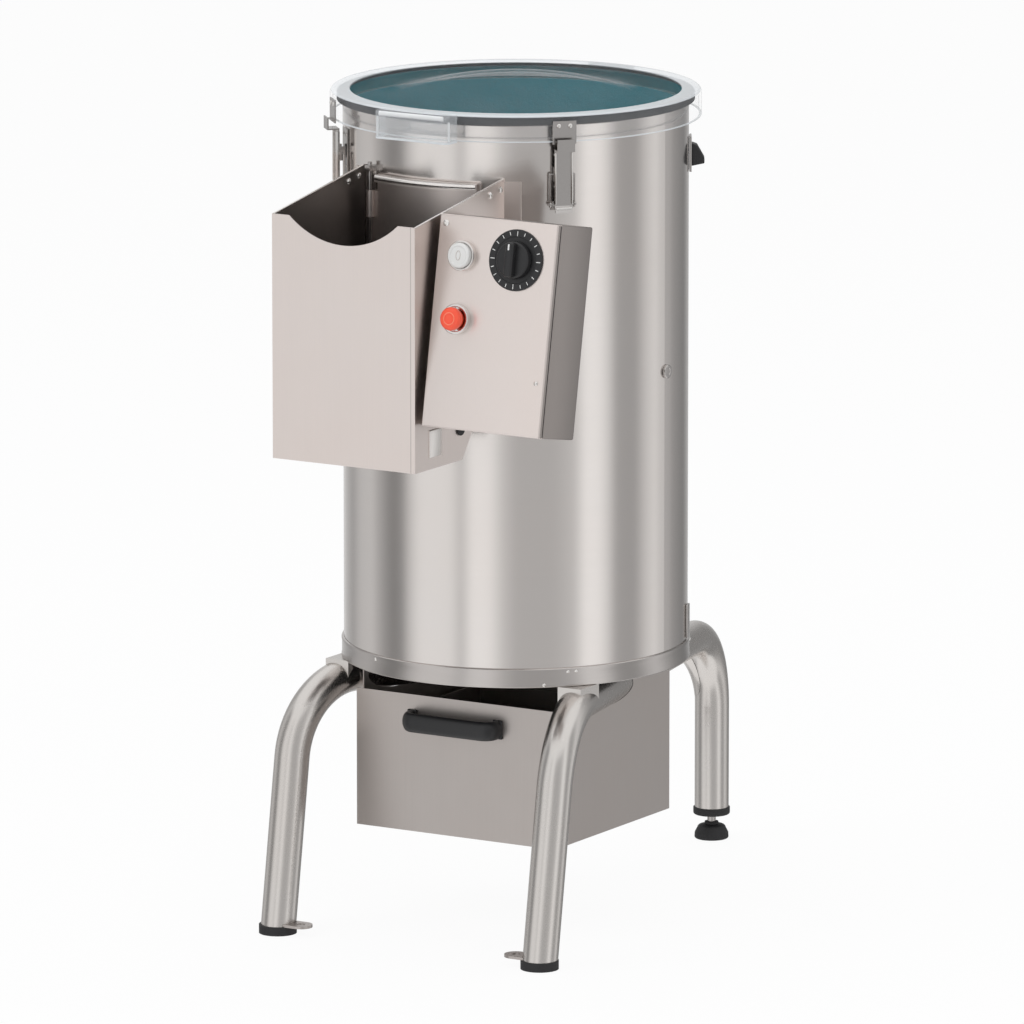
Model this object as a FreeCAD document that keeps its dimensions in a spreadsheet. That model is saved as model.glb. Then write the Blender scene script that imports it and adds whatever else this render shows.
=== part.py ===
# Drum potato peeler on a three-legged tubular stand.
# Origin: on the floor, under the drum's axis.  +Z up, -Y to the front, where the outlet is.
import FreeCAD, Part
import Sketcher
import math
import os
import re

doc = FreeCAD.newDocument("potato_peeler")
sheet = doc.addObject("Spreadsheet::Sheet", "Sizes")

# Driving dimensions, in millimetres and degrees
SIZES = {
    "drum_radius": 195, "drum_wall": 1.5, "drum_bottom": 300, "drum_top": 944,
    "rim_proud": 3.5, "rim_depth": 8,
    "flange_proud": 2.8, "flange_height": 22, "flange_bevel": 2.5,
    "base_thick": 4, "floor_top": 684, "floor_thick": 4,
    "liner_wall": 3, "liner_gap": 0.5, "liner_top": 930,
    "disc_gap": 6, "disc_thick": 18, "disc_lift": 6, "disc_side_gap": 6,
    "shaft_radius": 12, "shaft_gap": 0.08, "shaft_depth": 40,
    "motor_radius": 85, "motor_height": 220,
    "lid_radius": 209.4, "lid_wall": 3, "lid_top": 950, "skirt_drop": 30,
    "ring_width": 23, "well_depth": 6, "dome_radius": 139, "dome_rise": 22,
    "gasket_width": 6.5, "seat_gap": 0.3, "lid_round": 4,
    "grip_width": 96, "grip_proud": 17, "grip_height": 31, "grip_wall": 3,
    "hinge_offset": 13, "hinge_drop": 2, "hinge_width": 60, "barrel_radius": 6,
    "hinge_pin": 3, "pin_gap": 0.08, "leaf_thick": 2, "bracket_height": 42,
    "latch_angle": 46, "latch_width": 24, "latch_low": 842, "latch_high": 910,
    "latch_plate": 1.5, "latch_pivot_z": 849, "latch_pivot_out": 6, "latch_pin": 1.5,
    "latch_reach": 10, "lever_width": 20, "bail_half": 14, "bail_top": 883, "bail_wire": 1.5,
    "catch_width": 27, "catch_height": 26, "catch_lip": 4,
    "outlet_half": 60, "outlet_low": 700, "outlet_high": 858,
    "door_low": 690, "door_high": 872, "door_gap": 1.2, "door_thick": 2, "door_half_angle": 20,
    "door_hinge_angle": 23, "door_hinge_out": 6, "knuckle_radius": 4.5, "door_pin": 2.5,
    "door_lip": 11, "door_lip_height": 8, "door_post": 12,
    "chute_left": 95, "chute_right": 90.3, "chute_front": 364, "chute_low": 575,
    "chute_high": 850, "chute_rise": 28, "chute_wall": 1.5, "ramp_front": 267, "ramp_high": 674,
    "scoop_half": 70.5, "scoop_depth": 28, "flange_strip": 16, "strip_thick": 1.5,
    "box_left": 97, "box_width": 152, "box_height": 235, "box_depth": 77, "box_low": 629.5,
    "box_front": 362, "box_tilt": 10.2, "box_wall": 1.5, "box_corner": 5,
    "dial_across": 102, "dial_down": 43, "dial_radius": 34, "dial_thick": 2.5,
    "knob_radius": 21, "knob_height": 17, "knob_gap": 0.4,
    "button_across": 34, "start_down": 44, "stop_down": 114, "bezel_radius": 17,
    "bezel_height": 7, "button_gap": 0.5, "start_radius": 14, "start_proud": 5,
    "stop_radius": 13, "stop_proud": 12, "button_travel": 3,
    "switch_angle": 121, "switch_low": 855, "switch_height": 40, "switch_width": 26,
    "switch_proud": 18,
    "plug_angle": 91, "plug_height": 639, "plug_radius": 9, "plug_proud": 2,
    "housing_half": 131, "housing_front": 118, "housing_back": 122, "housing_low": 111,
    "sheet_thick": 1.5, "drawer_front": 130, "drawer_front_high": 269, "drawer_high": 232,
    "drawer_side_gap": 5, "drawer_back_gap": 8, "runner_width": 14, "runner_low": 215,
    "lip_width": 8, "handle_width": 125, "handle_proud": 26, "handle_height": 22,
    "handle_bar": 11, "handle_z": 241, "handle_corner": 14,
    "tube_radius": 20, "tube_wall": 2, "knee_height": 283, "rear_height": 252, "bend_radius": 96,
    "foot_x": 172.7, "foot_y": 234.4, "leg_lean": 9, "rear_foot_y": 443.5,
    "pad_height": 10, "pad_proud": 1.5, "mitre_gap": 0.3,
    "anchor_length": 44, "anchor_width": 26, "anchor_thick": 3, "anchor_hole": 4.5,
    "rear_tube_low": 38, "cap_height": 9, "stem_radius": 5, "foot_radius": 20, "foot_height": 20,
    "saddle_length": 40, "saddle_width": 30, "saddle_front_y": 118, "saddle_rear_y": 150,
}
for row, (alias, number) in enumerate(SIZES.items(), start=1):
    sheet.set("A%d" % row, alias)
    sheet.set("B%d" % row, str(number))
    sheet.setAlias("B%d" % row, alias)
doc.recompute()


def bound(text):
    """An expression on size names, as the document reads it."""
    return re.sub(r"[a-z_]+", lambda m: "Sizes." + m[0] if m[0] in SIZES else m[0], text)


def value(text):
    """The number that an expression on size names stands for."""
    result = sheet.evalExpression(bound(text))
    return float(getattr(result, "Value", result))


def place(piece, x="0", y="0", z="0", turn=None, axis=(0, 0, 1)):
    """Bind an object's place, and its turn about one axis, to the sizes."""
    piece.Placement = FreeCAD.Placement(FreeCAD.Vector(), FreeCAD.Rotation(FreeCAD.Vector(*axis), 1))
    for letter, text in zip("xyz", (x, y, z)):
        piece.setExpression("Placement.Base." + letter, bound(text))
    piece.setExpression("Placement.Rotation.Angle", bound(turn or "0"))
    return piece


def block(name, x, y, z, wide, deep, high):
    """A box from its low corner and its three sizes."""
    piece = doc.addObject("Part::Box", name)
    for prop, text in (("Length", wide), ("Width", deep), ("Height", high)):
        piece.setExpression(prop, bound(text))
    return place(piece, x, y, z)


def rod(name, radius, height, x="0", y="0", z="0", turn=None, axis=(0, 0, 1)):
    """A cylinder that starts at a point and runs along its own Z."""
    piece = doc.addObject("Part::Cylinder", name)
    piece.setExpression("Radius", bound(radius))
    piece.setExpression("Height", bound(height))
    return place(piece, x, y, z, turn, axis)


def fused(name, *pieces):
    piece = doc.addObject("Part::MultiFuse", name)
    piece.Shapes = list(pieces)
    return piece


def cut(name, base, tool):
    piece = doc.addObject("Part::Cut", name)
    piece.Base = base
    piece.Tool = tool
    return piece


def common(name, base, tool):
    piece = doc.addObject("Part::Common", name)
    piece.Base = base
    piece.Tool = tool
    return piece


def sketch_on(body, plane, points, lift="0"):
    """A closed outline on one of the body's origin planes, each corner bound to the sizes."""
    sketch = body.newObject("Sketcher::SketchObject", body.Name + "_outline")
    planes = {item.Role: item for item in body.Origin.OriginFeatures}
    sketch.AttachmentSupport = [(planes[plane], "")]
    sketch.MapMode = "FlatFace"
    sketch.setExpression("AttachmentOffset.Base.z", bound(lift))
    corners = [FreeCAD.Vector(value(x), value(y), 0) for x, y in points]
    for start, end in zip(corners, corners[1:] + corners[:1]):
        sketch.addGeometry(Part.LineSegment(start, end), False)
    for index, (x, y) in enumerate(points):
        sketch.addConstraint(Sketcher.Constraint("Coincident", index - 1 if index else len(points) - 1,
                                                 2, index, 1))
        for kind, text in (("DistanceX", x), ("DistanceY", y)):
            spot = corners[index].x if kind == "DistanceX" else corners[index].y
            number = sketch.addConstraint(Sketcher.Constraint(kind, -1, 1, index, 1, spot))
            sketch.setExpression("Constraints[%d]" % number, bound(text))
    return sketch


def prism(name, plane, points, length, lift="0"):
    """A body padded from an outline."""
    body = doc.addObject("PartDesign::Body", name)
    sketch = sketch_on(body, plane, points, lift)
    pad = body.newObject("PartDesign::Pad", name + "_pad")
    pad.Profile = sketch
    pad.setExpression("Length", bound(length))
    return body


def turned(name, points):
    """A body turned about Z from a half outline of radius and height."""
    body = doc.addObject("PartDesign::Body", name)
    sketch = sketch_on(body, "XZ_Plane", points)
    solid = body.newObject("PartDesign::Revolution", name + "_turn")
    solid.Profile = sketch
    solid.ReferenceAxis = (sketch, ["V_Axis"])
    solid.Angle = 360
    return body


def ring(name, inner, outer, low, high):
    """A plain ring about the drum's axis."""
    return turned(name, [(inner, low), (outer, low), (outer, high), (inner, high)])


NODES = []


def node(piece, name):
    """Mark a finished piece as a named sub-part."""
    piece.Label = name
    NODES.append(piece)
    return piece


# The drum's axis meets the box that cuts the outlet at the front
def outlet_cut(name):
    return block(name, "-outlet_half", "-drum_radius - 10", "outlet_low", "outlet_half * 2",
                 "60", "outlet_high - outlet_low")


# Drum: rolled wall with a beaded rim
wall = turned("drum_wall_ring", [
    ("drum_radius - drum_wall", "drum_bottom"), ("drum_radius", "drum_bottom"),
    ("drum_radius", "drum_top - rim_depth"),
    ("drum_radius + rim_proud", "drum_top - rim_depth * 0.75"),
    ("drum_radius + rim_proud", "drum_top - rim_depth * 0.25"),
    ("drum_radius", "drum_top"), ("drum_radius - drum_wall", "drum_top")])
node(cut("drum_wall_cut", wall, outlet_cut("wall_outlet")), "drum_shell")

# Bottom flange: a band with a bevelled upper edge round the drum's foot
node(turned("flange_band", [
    ("drum_radius", "drum_bottom"), ("drum_radius + flange_proud", "drum_bottom"),
    ("drum_radius + flange_proud", "drum_bottom + flange_height - flange_bevel"),
    ("drum_radius", "drum_bottom + flange_height")]), "base_flange")
node(rod("base_disc", "drum_radius - drum_wall", "base_thick", z="drum_bottom"), "base_plate")

# Peeling chamber: floor, abrasive liner and motor
floor_disc = rod("floor_disc", "drum_radius - drum_wall", "floor_thick", z="floor_top - floor_thick")
floor_hole = rod("floor_hole", "shaft_radius + 2", "floor_thick", z="floor_top - floor_thick")
node(cut("floor_cut", floor_disc, floor_hole), "chamber_floor")
liner = ring("liner_ring", "drum_radius - drum_wall - liner_gap - liner_wall",
             "drum_radius - drum_wall - liner_gap", "floor_top", "liner_top")
node(cut("liner_cut", liner, outlet_cut("liner_outlet")), "abrasive_liner")
motor_body = rod("motor_body", "motor_radius", "motor_height",
                 z="floor_top - floor_thick - motor_height")
motor_bore = rod("motor_bore", "shaft_radius + shaft_gap", "shaft_depth + 2",
                 z="floor_top - floor_thick - shaft_depth - 2")
node(cut("motor_cut", motor_body, motor_bore), "motor")

# Turning disc, raised at its edge in low waves, on its shaft
disc = turned("disc_turn", [
    ("0", "floor_top + disc_gap"),
    ("drum_radius - drum_wall - liner_gap - liner_wall - disc_side_gap", "floor_top + disc_gap"),
    ("drum_radius - drum_wall - liner_gap - liner_wall - disc_side_gap",
     "floor_top + disc_gap + disc_thick + disc_lift"),
    ("drum_radius * 0.45", "floor_top + disc_gap + disc_thick"),
    ("drum_radius * 0.2", "floor_top + disc_gap + disc_thick + disc_lift"),
    ("0", "floor_top + disc_gap + disc_thick + disc_lift")])
waves = []
for number in range(3):
    bump = doc.addObject("Part::Ellipsoid", "disc_wave_%d" % number)
    bump.setExpression("Radius1", bound("disc_thick * 0.9"))
    bump.setExpression("Radius2", bound("drum_radius * 0.38"))
    bump.setExpression("Radius3", bound("drum_radius * 0.16"))
    place(bump, "drum_radius * 0.5 * cos(%d)" % (120 * number),
          "drum_radius * 0.5 * sin(%d)" % (120 * number),
          "floor_top + disc_gap + disc_thick", str(120 * number))
    waves.append(bump)
disc_under = rod("disc_under", "drum_radius", "disc_thick * 2",
                 z="floor_top + disc_gap - disc_thick * 2")
node(cut("disc_trim", fused("disc_all", disc, *waves), disc_under), "abrasive_disc")
node(rod("shaft_rod", "shaft_radius", "shaft_depth + floor_thick + disc_gap",
         z="floor_top - floor_thick - shaft_depth"), "disc_shaft")

# Clear lid: skirt, flat ring, well and a shallow dome
lid_ring = turned("lid_turn", [
    ("lid_radius - lid_wall", "lid_top - skirt_drop"), ("lid_radius", "lid_top - skirt_drop"),
    ("lid_radius", "lid_top - lid_round"),
    ("lid_radius - lid_round * 0.3", "lid_top - lid_round * 0.3"),
    ("lid_radius - lid_round", "lid_top"), ("lid_radius - ring_width", "lid_top"),
    ("lid_radius - ring_width", "lid_top - well_depth"),
    ("dome_radius - 9", "lid_top - well_depth"),
    ("dome_radius - 9", "lid_top - well_depth - lid_wall"),
    ("lid_radius - ring_width + lid_wall", "lid_top - well_depth - lid_wall"),
    ("lid_radius - ring_width + lid_wall", "lid_top - lid_wall"),
    ("lid_radius - lid_wall", "lid_top - lid_wall")])
DOME = "((dome_radius ^ 2 + dome_rise ^ 2) / (2 * dome_rise))"
outside = doc.addObject("Part::Sphere", "dome_outside")
outside.setExpression("Radius", bound(DOME))
place(outside, z="lid_top - well_depth + dome_rise - 1 - " + DOME)
inside = doc.addObject("Part::Sphere", "dome_inside")
inside.setExpression("Radius", bound(DOME + " - lid_wall"))
place(inside, z="lid_top - well_depth + dome_rise - 1 - " + DOME)
dome_limit = rod("dome_limit", "dome_radius", "dome_rise * 2", z="lid_top - well_depth - lid_wall + 0.5")
dome = common("dome_cap", cut("dome_shell", outside, inside), dome_limit)
node(fused("lid_all", lid_ring, dome), "lid")
node(ring("gasket_ring", "drum_radius - gasket_width + 2", "drum_radius + 2",
          "drum_top + seat_gap", "lid_top - lid_wall"), "lid_gasket")

# Grip on the lid's front, open below for the fingers
grip_outer = block("grip_outer", "-grip_width / 2", "-lid_radius - grip_proud",
                   "lid_top - grip_height", "grip_width", "grip_proud + 10", "grip_height")
grip_inner = block("grip_inner", "grip_wall - grip_width / 2", "-lid_radius - grip_proud + grip_wall",
                   "lid_top - grip_height - grip_wall", "grip_width - grip_wall * 2",
                   "grip_proud + 10", "grip_height")
grip_shell = cut("grip_shell", grip_outer, grip_inner)
lid_inside = rod("lid_inside", "lid_radius", "skirt_drop * 3", z="lid_top - skirt_drop * 2")
node(cut("grip_cut", grip_shell, lid_inside), "lid_grip")

# Rear hinge of the lid, its axis along X behind the skirt
HINGE_Y = "lid_radius + hinge_offset"
HINGE_Z = "lid_top - skirt_drop - hinge_drop"


def along_x(name, radius, half, start="0"):
    """A rod along X on the lid's hinge axis."""
    return rod(name, radius, half, start, HINGE_Y, HINGE_Z, "90", (0, 1, 0))


leaf_plate = block("leaf_plate", "-hinge_width / 2", "lid_radius + seat_gap",
                   "lid_top - skirt_drop + 6", "hinge_width", "leaf_thick", "skirt_drop - 8")
leaf_arm = block("leaf_arm", "-hinge_width / 6", "lid_radius + seat_gap + leaf_thick",
                 "lid_top - skirt_drop + 6", "hinge_width / 3",
                 "hinge_offset - seat_gap - leaf_thick", "3")
leaf_tie = block("leaf_tie", "-hinge_width / 6", HINGE_Y + " - 3", HINGE_Z + " + 2",
                 "hinge_width / 3", "3", "9")
leaf_barrel = along_x("leaf_barrel", "barrel_radius", "hinge_width / 3", "-hinge_width / 6")
leaf = fused("leaf_all", leaf_plate, leaf_arm, leaf_tie, leaf_barrel)
leaf_bore = along_x("leaf_bore", "hinge_pin + pin_gap", "hinge_width", "-hinge_width / 2")
node(cut("leaf_cut", leaf, leaf_bore), "lid_hinge_leaf")
ears = []
for side, start in (("left", "-hinge_width / 2"), ("right", "hinge_width / 6 + 1")):
    ears.append(along_x("ear_barrel_" + side, "barrel_radius", "hinge_width / 3 - 1", start))
    ears.append(block("ear_arm_" + side, start, "drum_radius + 3", HINGE_Z + " - barrel_radius",
                      "hinge_width / 3 - 1", "lid_radius + hinge_offset - drum_radius - 3", "4"))
bracket_plate = block("bracket_plate", "-hinge_width / 2", "drum_radius + 1",
                      HINGE_Z + " - bracket_height", "hinge_width", "3", "bracket_height - 2")
bracket = fused("bracket_all", bracket_plate, *ears)
bracket_bore = along_x("bracket_bore", "hinge_pin", "hinge_width + 2", "-hinge_width / 2 - 1")
drum_inside = rod("drum_inside", "drum_radius", "bracket_height * 3",
                  z=HINGE_Z + " - bracket_height * 2")
bracket_bored = cut("bracket_bored", bracket, bracket_bore)
node(cut("bracket_cut", bracket_bored, drum_inside), "lid_hinge_bracket")
node(along_x("hinge_rod", "hinge_pin", "hinge_width + 4", "-hinge_width / 2 - 2"), "lid_hinge_pin")

# Toggle latches: base and pin on the drum, wire bail and lever, catch on the lid
PIVOT_Y = "-drum_radius - latch_pivot_out"
OUT = "-drum_radius - latch_reach"
for side, sign in (("left", "-"), ("right", "")):
    angle = sign + "latch_angle"
    plate = block("latch_plate_" + side, "-latch_width / 2", "-drum_radius - seat_gap - latch_plate",
                  "latch_low", "latch_width", "latch_plate", "latch_high - latch_low")
    parts = [plate]
    for mark, x in (("a", "-latch_width / 2"), ("b", "latch_width / 2 - latch_plate")):
        parts.append(block("latch_ear_%s_%s" % (mark, side), x, PIVOT_Y + " - 3", "latch_pivot_z - 4",
                           "latch_plate", "latch_pivot_out + 3 - seat_gap", "8"))
    pin = rod("latch_pin_" + side, "latch_pin", "bail_half * 2 + 4", "-bail_half - 2", PIVOT_Y,
              "latch_pivot_z", "90", (0, 1, 0))
    node(place(fused("latch_base_all_" + side, *parts, pin), turn=angle), "latch_base_" + side)
    wires = []
    for mark, x in (("a", "-bail_half"), ("b", "bail_half")):
        eye = rod("bail_eye_%s_%s" % (mark, side), "latch_pin + 2", "bail_wire",
                  x + " - bail_wire / 2", PIVOT_Y, "latch_pivot_z", "90", (0, 1, 0))
        hole = rod("bail_hole_%s_%s" % (mark, side), "latch_pin + pin_gap", "bail_wire * 2",
                   x + " - bail_wire", PIVOT_Y, "latch_pivot_z", "90", (0, 1, 0))
        arm = rod("bail_arm_%s_%s" % (mark, side), "bail_wire / 2 + 0.25",
                  "bail_top - latch_pivot_z - 2", x, PIVOT_Y, "latch_pivot_z + 2")
        wires.append(cut("bail_side_%s_%s" % (mark, side), fused("bail_bar_%s_%s" % (mark, side),
                                                                  eye, arm), hole))
    bar = rod("bail_bar_" + side, "bail_wire / 2 + 0.25", "bail_half * 2", "-bail_half", PIVOT_Y,
              "bail_top", "90", (0, 1, 0))
    node(place(fused("bail_all_" + side, *wires, bar), turn=angle), "latch_bail_" + side)
    lever = prism("lever_" + side, "YZ_Plane", [
        (OUT, "latch_low + 4"), (OUT + " - latch_plate - 3", "latch_low - 2"),
        (OUT + " - latch_plate - 4", "latch_low"), (OUT + " - latch_plate", "latch_low + 6"),
        (OUT + " - latch_plate", "latch_high"),
        ("-lid_radius - catch_lip - 5.5", "latch_high"),
        ("-lid_radius - catch_lip - 5.5", "latch_high + 14"),
        ("-lid_radius - catch_lip - 4", "latch_high + 14"),
        ("-lid_radius - catch_lip - 4", "latch_high + latch_plate"),
        (OUT, "latch_high + latch_plate")], "lever_width", "-lever_width / 2")
    cheeks = []
    for mark, x in (("a", "-lever_width / 2"), ("b", "lever_width / 2 - latch_plate")):
        cheeks.append(block("cheek_%s_%s" % (mark, side), x, OUT, "bail_top - 8", "latch_plate",
                            "latch_reach - latch_pivot_out + 2.5", "16"))
    bore = rod("cheek_bore_" + side, "bail_wire / 2 + 0.3", "latch_width * 2", "-latch_width", PIVOT_Y,
               "bail_top", "90", (0, 1, 0))
    lever_all = cut("lever_cut_" + side, fused("lever_all_" + side, lever, *cheeks), bore)
    node(place(lever_all, turn=angle), "latch_lever_" + side)
    catch_plate = block("catch_plate_" + side, "-catch_width / 2",
                        "-lid_radius - seat_gap - latch_plate", "lid_top - skirt_drop - 2",
                        "catch_width", "latch_plate", "catch_height")
    catch_ledge = block("catch_ledge_" + side, "-lever_width / 2", "-lid_radius - seat_gap - catch_lip",
                        "lid_top - skirt_drop", "lever_width", "catch_lip", "latch_plate")
    node(place(fused("catch_all_" + side, catch_plate, catch_ledge), turn=angle), "lid_catch_" + side)

# Outlet door: a curved plate on an upright pin, with a rolled lip along its top
DOOR_IN = "drum_radius + door_gap"
AXIS_R = "(drum_radius + door_hinge_out)"
AXIS_X = AXIS_R + " * sin(-door_hinge_angle)"
AXIS_Y = "-" + AXIS_R + " * cos(door_hinge_angle)"


def sector(name, inner, outer, low, high, first, last):
    """A slice of a ring about the drum's axis, between two angles from the front."""
    tool = prism(name + "_wedge", "XY_Plane", [
        ("0", "0"), ("400 * sin(%s)" % first, "-400 * cos(%s)" % first), ("0", "-560"),
        ("400 * sin(%s)" % last, "-400 * cos(%s)" % last)], "2000")
    return common(name, ring(name + "_ring", inner, outer, low, high), tool)


door_plate = sector("door_plate", DOOR_IN, DOOR_IN + " + door_thick", "door_low", "door_high",
                    "-door_half_angle", "door_half_angle")
door_lip = sector("door_lip", DOOR_IN + " + door_thick", DOOR_IN + " + door_lip",
                  "door_high - door_lip_height", "door_high", "-door_half_angle + 1.5",
                  "door_half_angle - 1")
knuckles = []
for number, low in enumerate(("door_low + 20", "door_high - 50")):
    knuckle = rod("door_knuckle_%d" % number, "knuckle_radius", "30", AXIS_X, AXIS_Y, low)
    knuckles.append(knuckle)
door_arm = sector("door_arm", DOOR_IN, DOOR_IN + " + door_thick", "door_low + 20", "door_high - 20",
                  "-door_hinge_angle", "-door_half_angle")
door_solid = fused("door_all", door_plate, door_lip, door_arm, *knuckles)
door_bore = rod("door_bore", "door_pin + pin_gap", "door_high - door_low + 60", AXIS_X, AXIS_Y,
                "door_low - 30")
node(cut("door_cut", door_solid, door_bore), "outlet_door")
post = rod("door_post", "door_pin", "door_high - door_low + door_post * 2", AXIS_X, AXIS_Y,
           "door_low - door_post")
lugs = []
for number, low in enumerate(("door_low - door_post + 2", "door_high + 2")):
    lug = block("door_lug_%d" % number, "-knuckle_radius", "-drum_radius - door_hinge_out - 4", low,
                "knuckle_radius * 2", "door_hinge_out + 5", "6")
    lugs.append(place(lug, "-(drum_radius + door_hinge_out + 4) * sin(door_hinge_angle)"
                           " - knuckle_radius * cos(door_hinge_angle)",
                      "-(drum_radius + door_hinge_out + 4) * cos(door_hinge_angle)"
                      " + knuckle_radius * sin(door_hinge_angle)", low, "-door_hinge_angle"))
door_inside = rod("door_inside", "drum_radius", "door_high", z="drum_bottom")
node(cut("door_mount_cut", fused("door_mount", post, *lugs), door_inside), "door_hinge_post")

# Chute: one folded sheet, open at the top and bottom, with a ramp below the outlet
BACK = "-drum_radius * 0.6"
side_outline = [
    ("-chute_front", "chute_low"), ("-ramp_front", "chute_low"),
    ("-drum_radius", "ramp_high"), (BACK, "ramp_high"), (BACK, "chute_high + chute_rise"),
    ("-drum_radius + 20", "chute_high + chute_rise"), ("-chute_front", "chute_high")]
left_side = prism("chute_left_side", "YZ_Plane", side_outline, "chute_wall", "-chute_left")
right_side = prism("chute_right_side", "YZ_Plane", side_outline, "chute_wall",
                   "chute_right - chute_wall")
front_sheet = block("chute_front_sheet", "-chute_left", "-chute_front", "chute_low",
                    "chute_left + chute_right", "chute_wall", "chute_high - chute_low")
SCOOP = "((scoop_half ^ 2 + scoop_depth ^ 2) / (2 * scoop_depth))"
scoop = rod("chute_scoop", SCOOP, "30", "(chute_right - chute_left) / 2", "-chute_front + 15",
            "chute_high - scoop_depth + " + SCOOP, "90", (1, 0, 0))
front_cut = cut("chute_front_cut", front_sheet, scoop)
ramp = prism("chute_ramp", "YZ_Plane", [
    ("-ramp_front", "chute_low"), ("-ramp_front + chute_wall * 2", "chute_low"),
    ("-drum_radius + chute_wall * 2", "ramp_high"), (BACK, "ramp_high + 20"),
    (BACK, "ramp_high + 22"), ("-drum_radius", "ramp_high")],
    "chute_left + chute_right", "-chute_left")
chute_all = fused("chute_all", left_side, right_side, front_cut, ramp)
drum_void = rod("drum_void", "drum_radius + seat_gap", "drum_top", z="0")
node(cut("chute_cut", chute_all, drum_void), "chute")
for side, low_x in (("left", "-chute_left - flange_strip"), ("right", "chute_right")):
    strip_box = block("strip_box_" + side, low_x, "-drum_radius - 20", "ramp_high",
                      "flange_strip", "120", "chute_high + chute_rise - ramp_high - 4")
    strip_ring = ring("strip_ring_" + side, "drum_radius + pin_gap", "drum_radius + strip_thick",
                      "ramp_high", "chute_high + chute_rise")
    node(common("strip_" + side, strip_ring, strip_box), "chute_flange_" + side)

# Control box on the chute's right side, leaning back
def on_box(piece, across, out, up, turn="0"):
    """Place a piece made against the box's face: across, out of the face and up along it."""
    lean = FreeCAD.Rotation(FreeCAD.Vector(1, 0, 0), 1)
    piece.Placement = FreeCAD.Placement(FreeCAD.Vector(), lean)
    piece.setExpression("Placement.Base.x", bound("box_left + " + across))
    piece.setExpression("Placement.Base.y", bound(
        "-box_front + (%s) * sin(box_tilt) - (%s) * cos(box_tilt)" % (up, out)))
    piece.setExpression("Placement.Base.z", bound(
        "box_low + (%s) * cos(box_tilt) + (%s) * sin(box_tilt)" % (up, out)))
    piece.setExpression("Placement.Rotation.Angle", bound(turn + " - box_tilt"))
    return piece


cover = prism("box_cover", "XY_Plane", [
    ("0", "0"), ("box_width", "0"), ("box_width", "box_depth - box_corner"),
    ("box_width - box_corner", "box_depth"), ("box_corner", "box_depth"),
    ("0", "box_depth - box_corner")], "box_height")
hollow = block("box_hollow", "box_wall", "box_wall", "box_wall", "box_width - box_wall * 2",
               "box_depth - box_wall * 2 - box_corner", "box_height - box_wall * 2")
node(on_box(cut("box_cut", cover, hollow), "0", "0", "0"), "control_box")
spacers = []
for number, up in enumerate(("box_height * 0.2", "box_height * 0.8")):
    spacers.append(rod("spacer_%d" % number, "7", "box_left - chute_right", "chute_right - box_left",
                       "box_depth / 2", up, "90", (0, 1, 0)))
node(on_box(fused("spacer_all", *spacers), "0", "0", "0"), "control_box_spacers")


def on_face(name, radius, height, across, down, out="0"):
    """A round piece that stands out of the box's face."""
    piece = doc.addObject("Part::Cylinder", name)
    piece.setExpression("Radius", bound(radius))
    piece.setExpression("Height", bound(height))
    return on_box(piece, across, out, "box_height - " + down, "90")


node(on_face("dial", "dial_radius", "dial_thick", "dial_across", "dial_down"), "timer_dial")
knob_base = on_face("knob_base", "knob_radius", "knob_height * 0.45", "dial_across", "dial_down",
                    "dial_thick + knob_gap")
knob_grip = block("knob_grip", "0", "0", "0", "knob_radius * 0.6", "knob_height", "knob_radius * 1.9")
knob_grip = on_box(knob_grip, "dial_across - knob_radius * 0.3", "dial_thick + knob_gap + knob_height",
                   "box_height - dial_down - knob_radius * 0.95")
node(fused("knob_all", knob_base, knob_grip), "timer_knob")
for name, down, radius, proud in (("start", "start_down", "start_radius", "start_proud"),
                                  ("stop", "stop_down", "stop_radius", "stop_proud")):
    bezel = on_face(name + "_bezel_solid", "bezel_radius", "bezel_height", "button_across", down)
    well = on_face(name + "_well", radius + " + button_gap", "bezel_height",
                   "button_across", down, "1")
    node(cut(name + "_bezel_cut", bezel, well), name + "_bezel")
    node(on_face(name + "_cap", radius, "bezel_height + %s - 1 - button_travel - button_gap" % proud,
                 "button_across", down, "1 + button_travel + button_gap"), name + "_button")

# Lid switch at the drum's right, and the side plug
switch_plate = block("switch_plate", "-switch_width / 2", "-drum_radius - 3", "switch_low",
                     "switch_width", "3", "switch_height")
switch_nose = prism("switch_nose", "YZ_Plane", [
    ("-drum_radius - 3", "switch_low + 6"), ("-drum_radius - switch_proud", "switch_low + 9"),
    ("-drum_radius - switch_proud", "switch_low + 15"),
    ("-drum_radius - 9", "switch_low + 30"), ("-drum_radius - 3", "switch_low + 32")],
    "switch_width * 0.6", "-switch_width * 0.3")
switch_all = place(fused("switch_all", switch_plate, switch_nose), turn="switch_angle")
switch_void = rod("switch_void", "drum_radius + seat_gap", "drum_top")
node(cut("switch_cut", switch_all, switch_void), "lid_switch")
plug = rod("plug_rod", "plug_radius", "plug_proud + 5",
           "(drum_radius + plug_proud) * sin(plug_angle)",
           "-(drum_radius + plug_proud) * cos(plug_angle)", "plug_height")
plug.Placement = FreeCAD.Placement(FreeCAD.Vector(), FreeCAD.Rotation(
    FreeCAD.Vector(0, 0, 1), FreeCAD.Vector(-math.sin(math.radians(value("plug_angle"))),
                                            math.cos(math.radians(value("plug_angle"))), 0)))
plug_void = rod("plug_void", "drum_radius + seat_gap", "drum_top")
node(cut("plug_cut", plug, plug_void), "side_plug")


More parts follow.
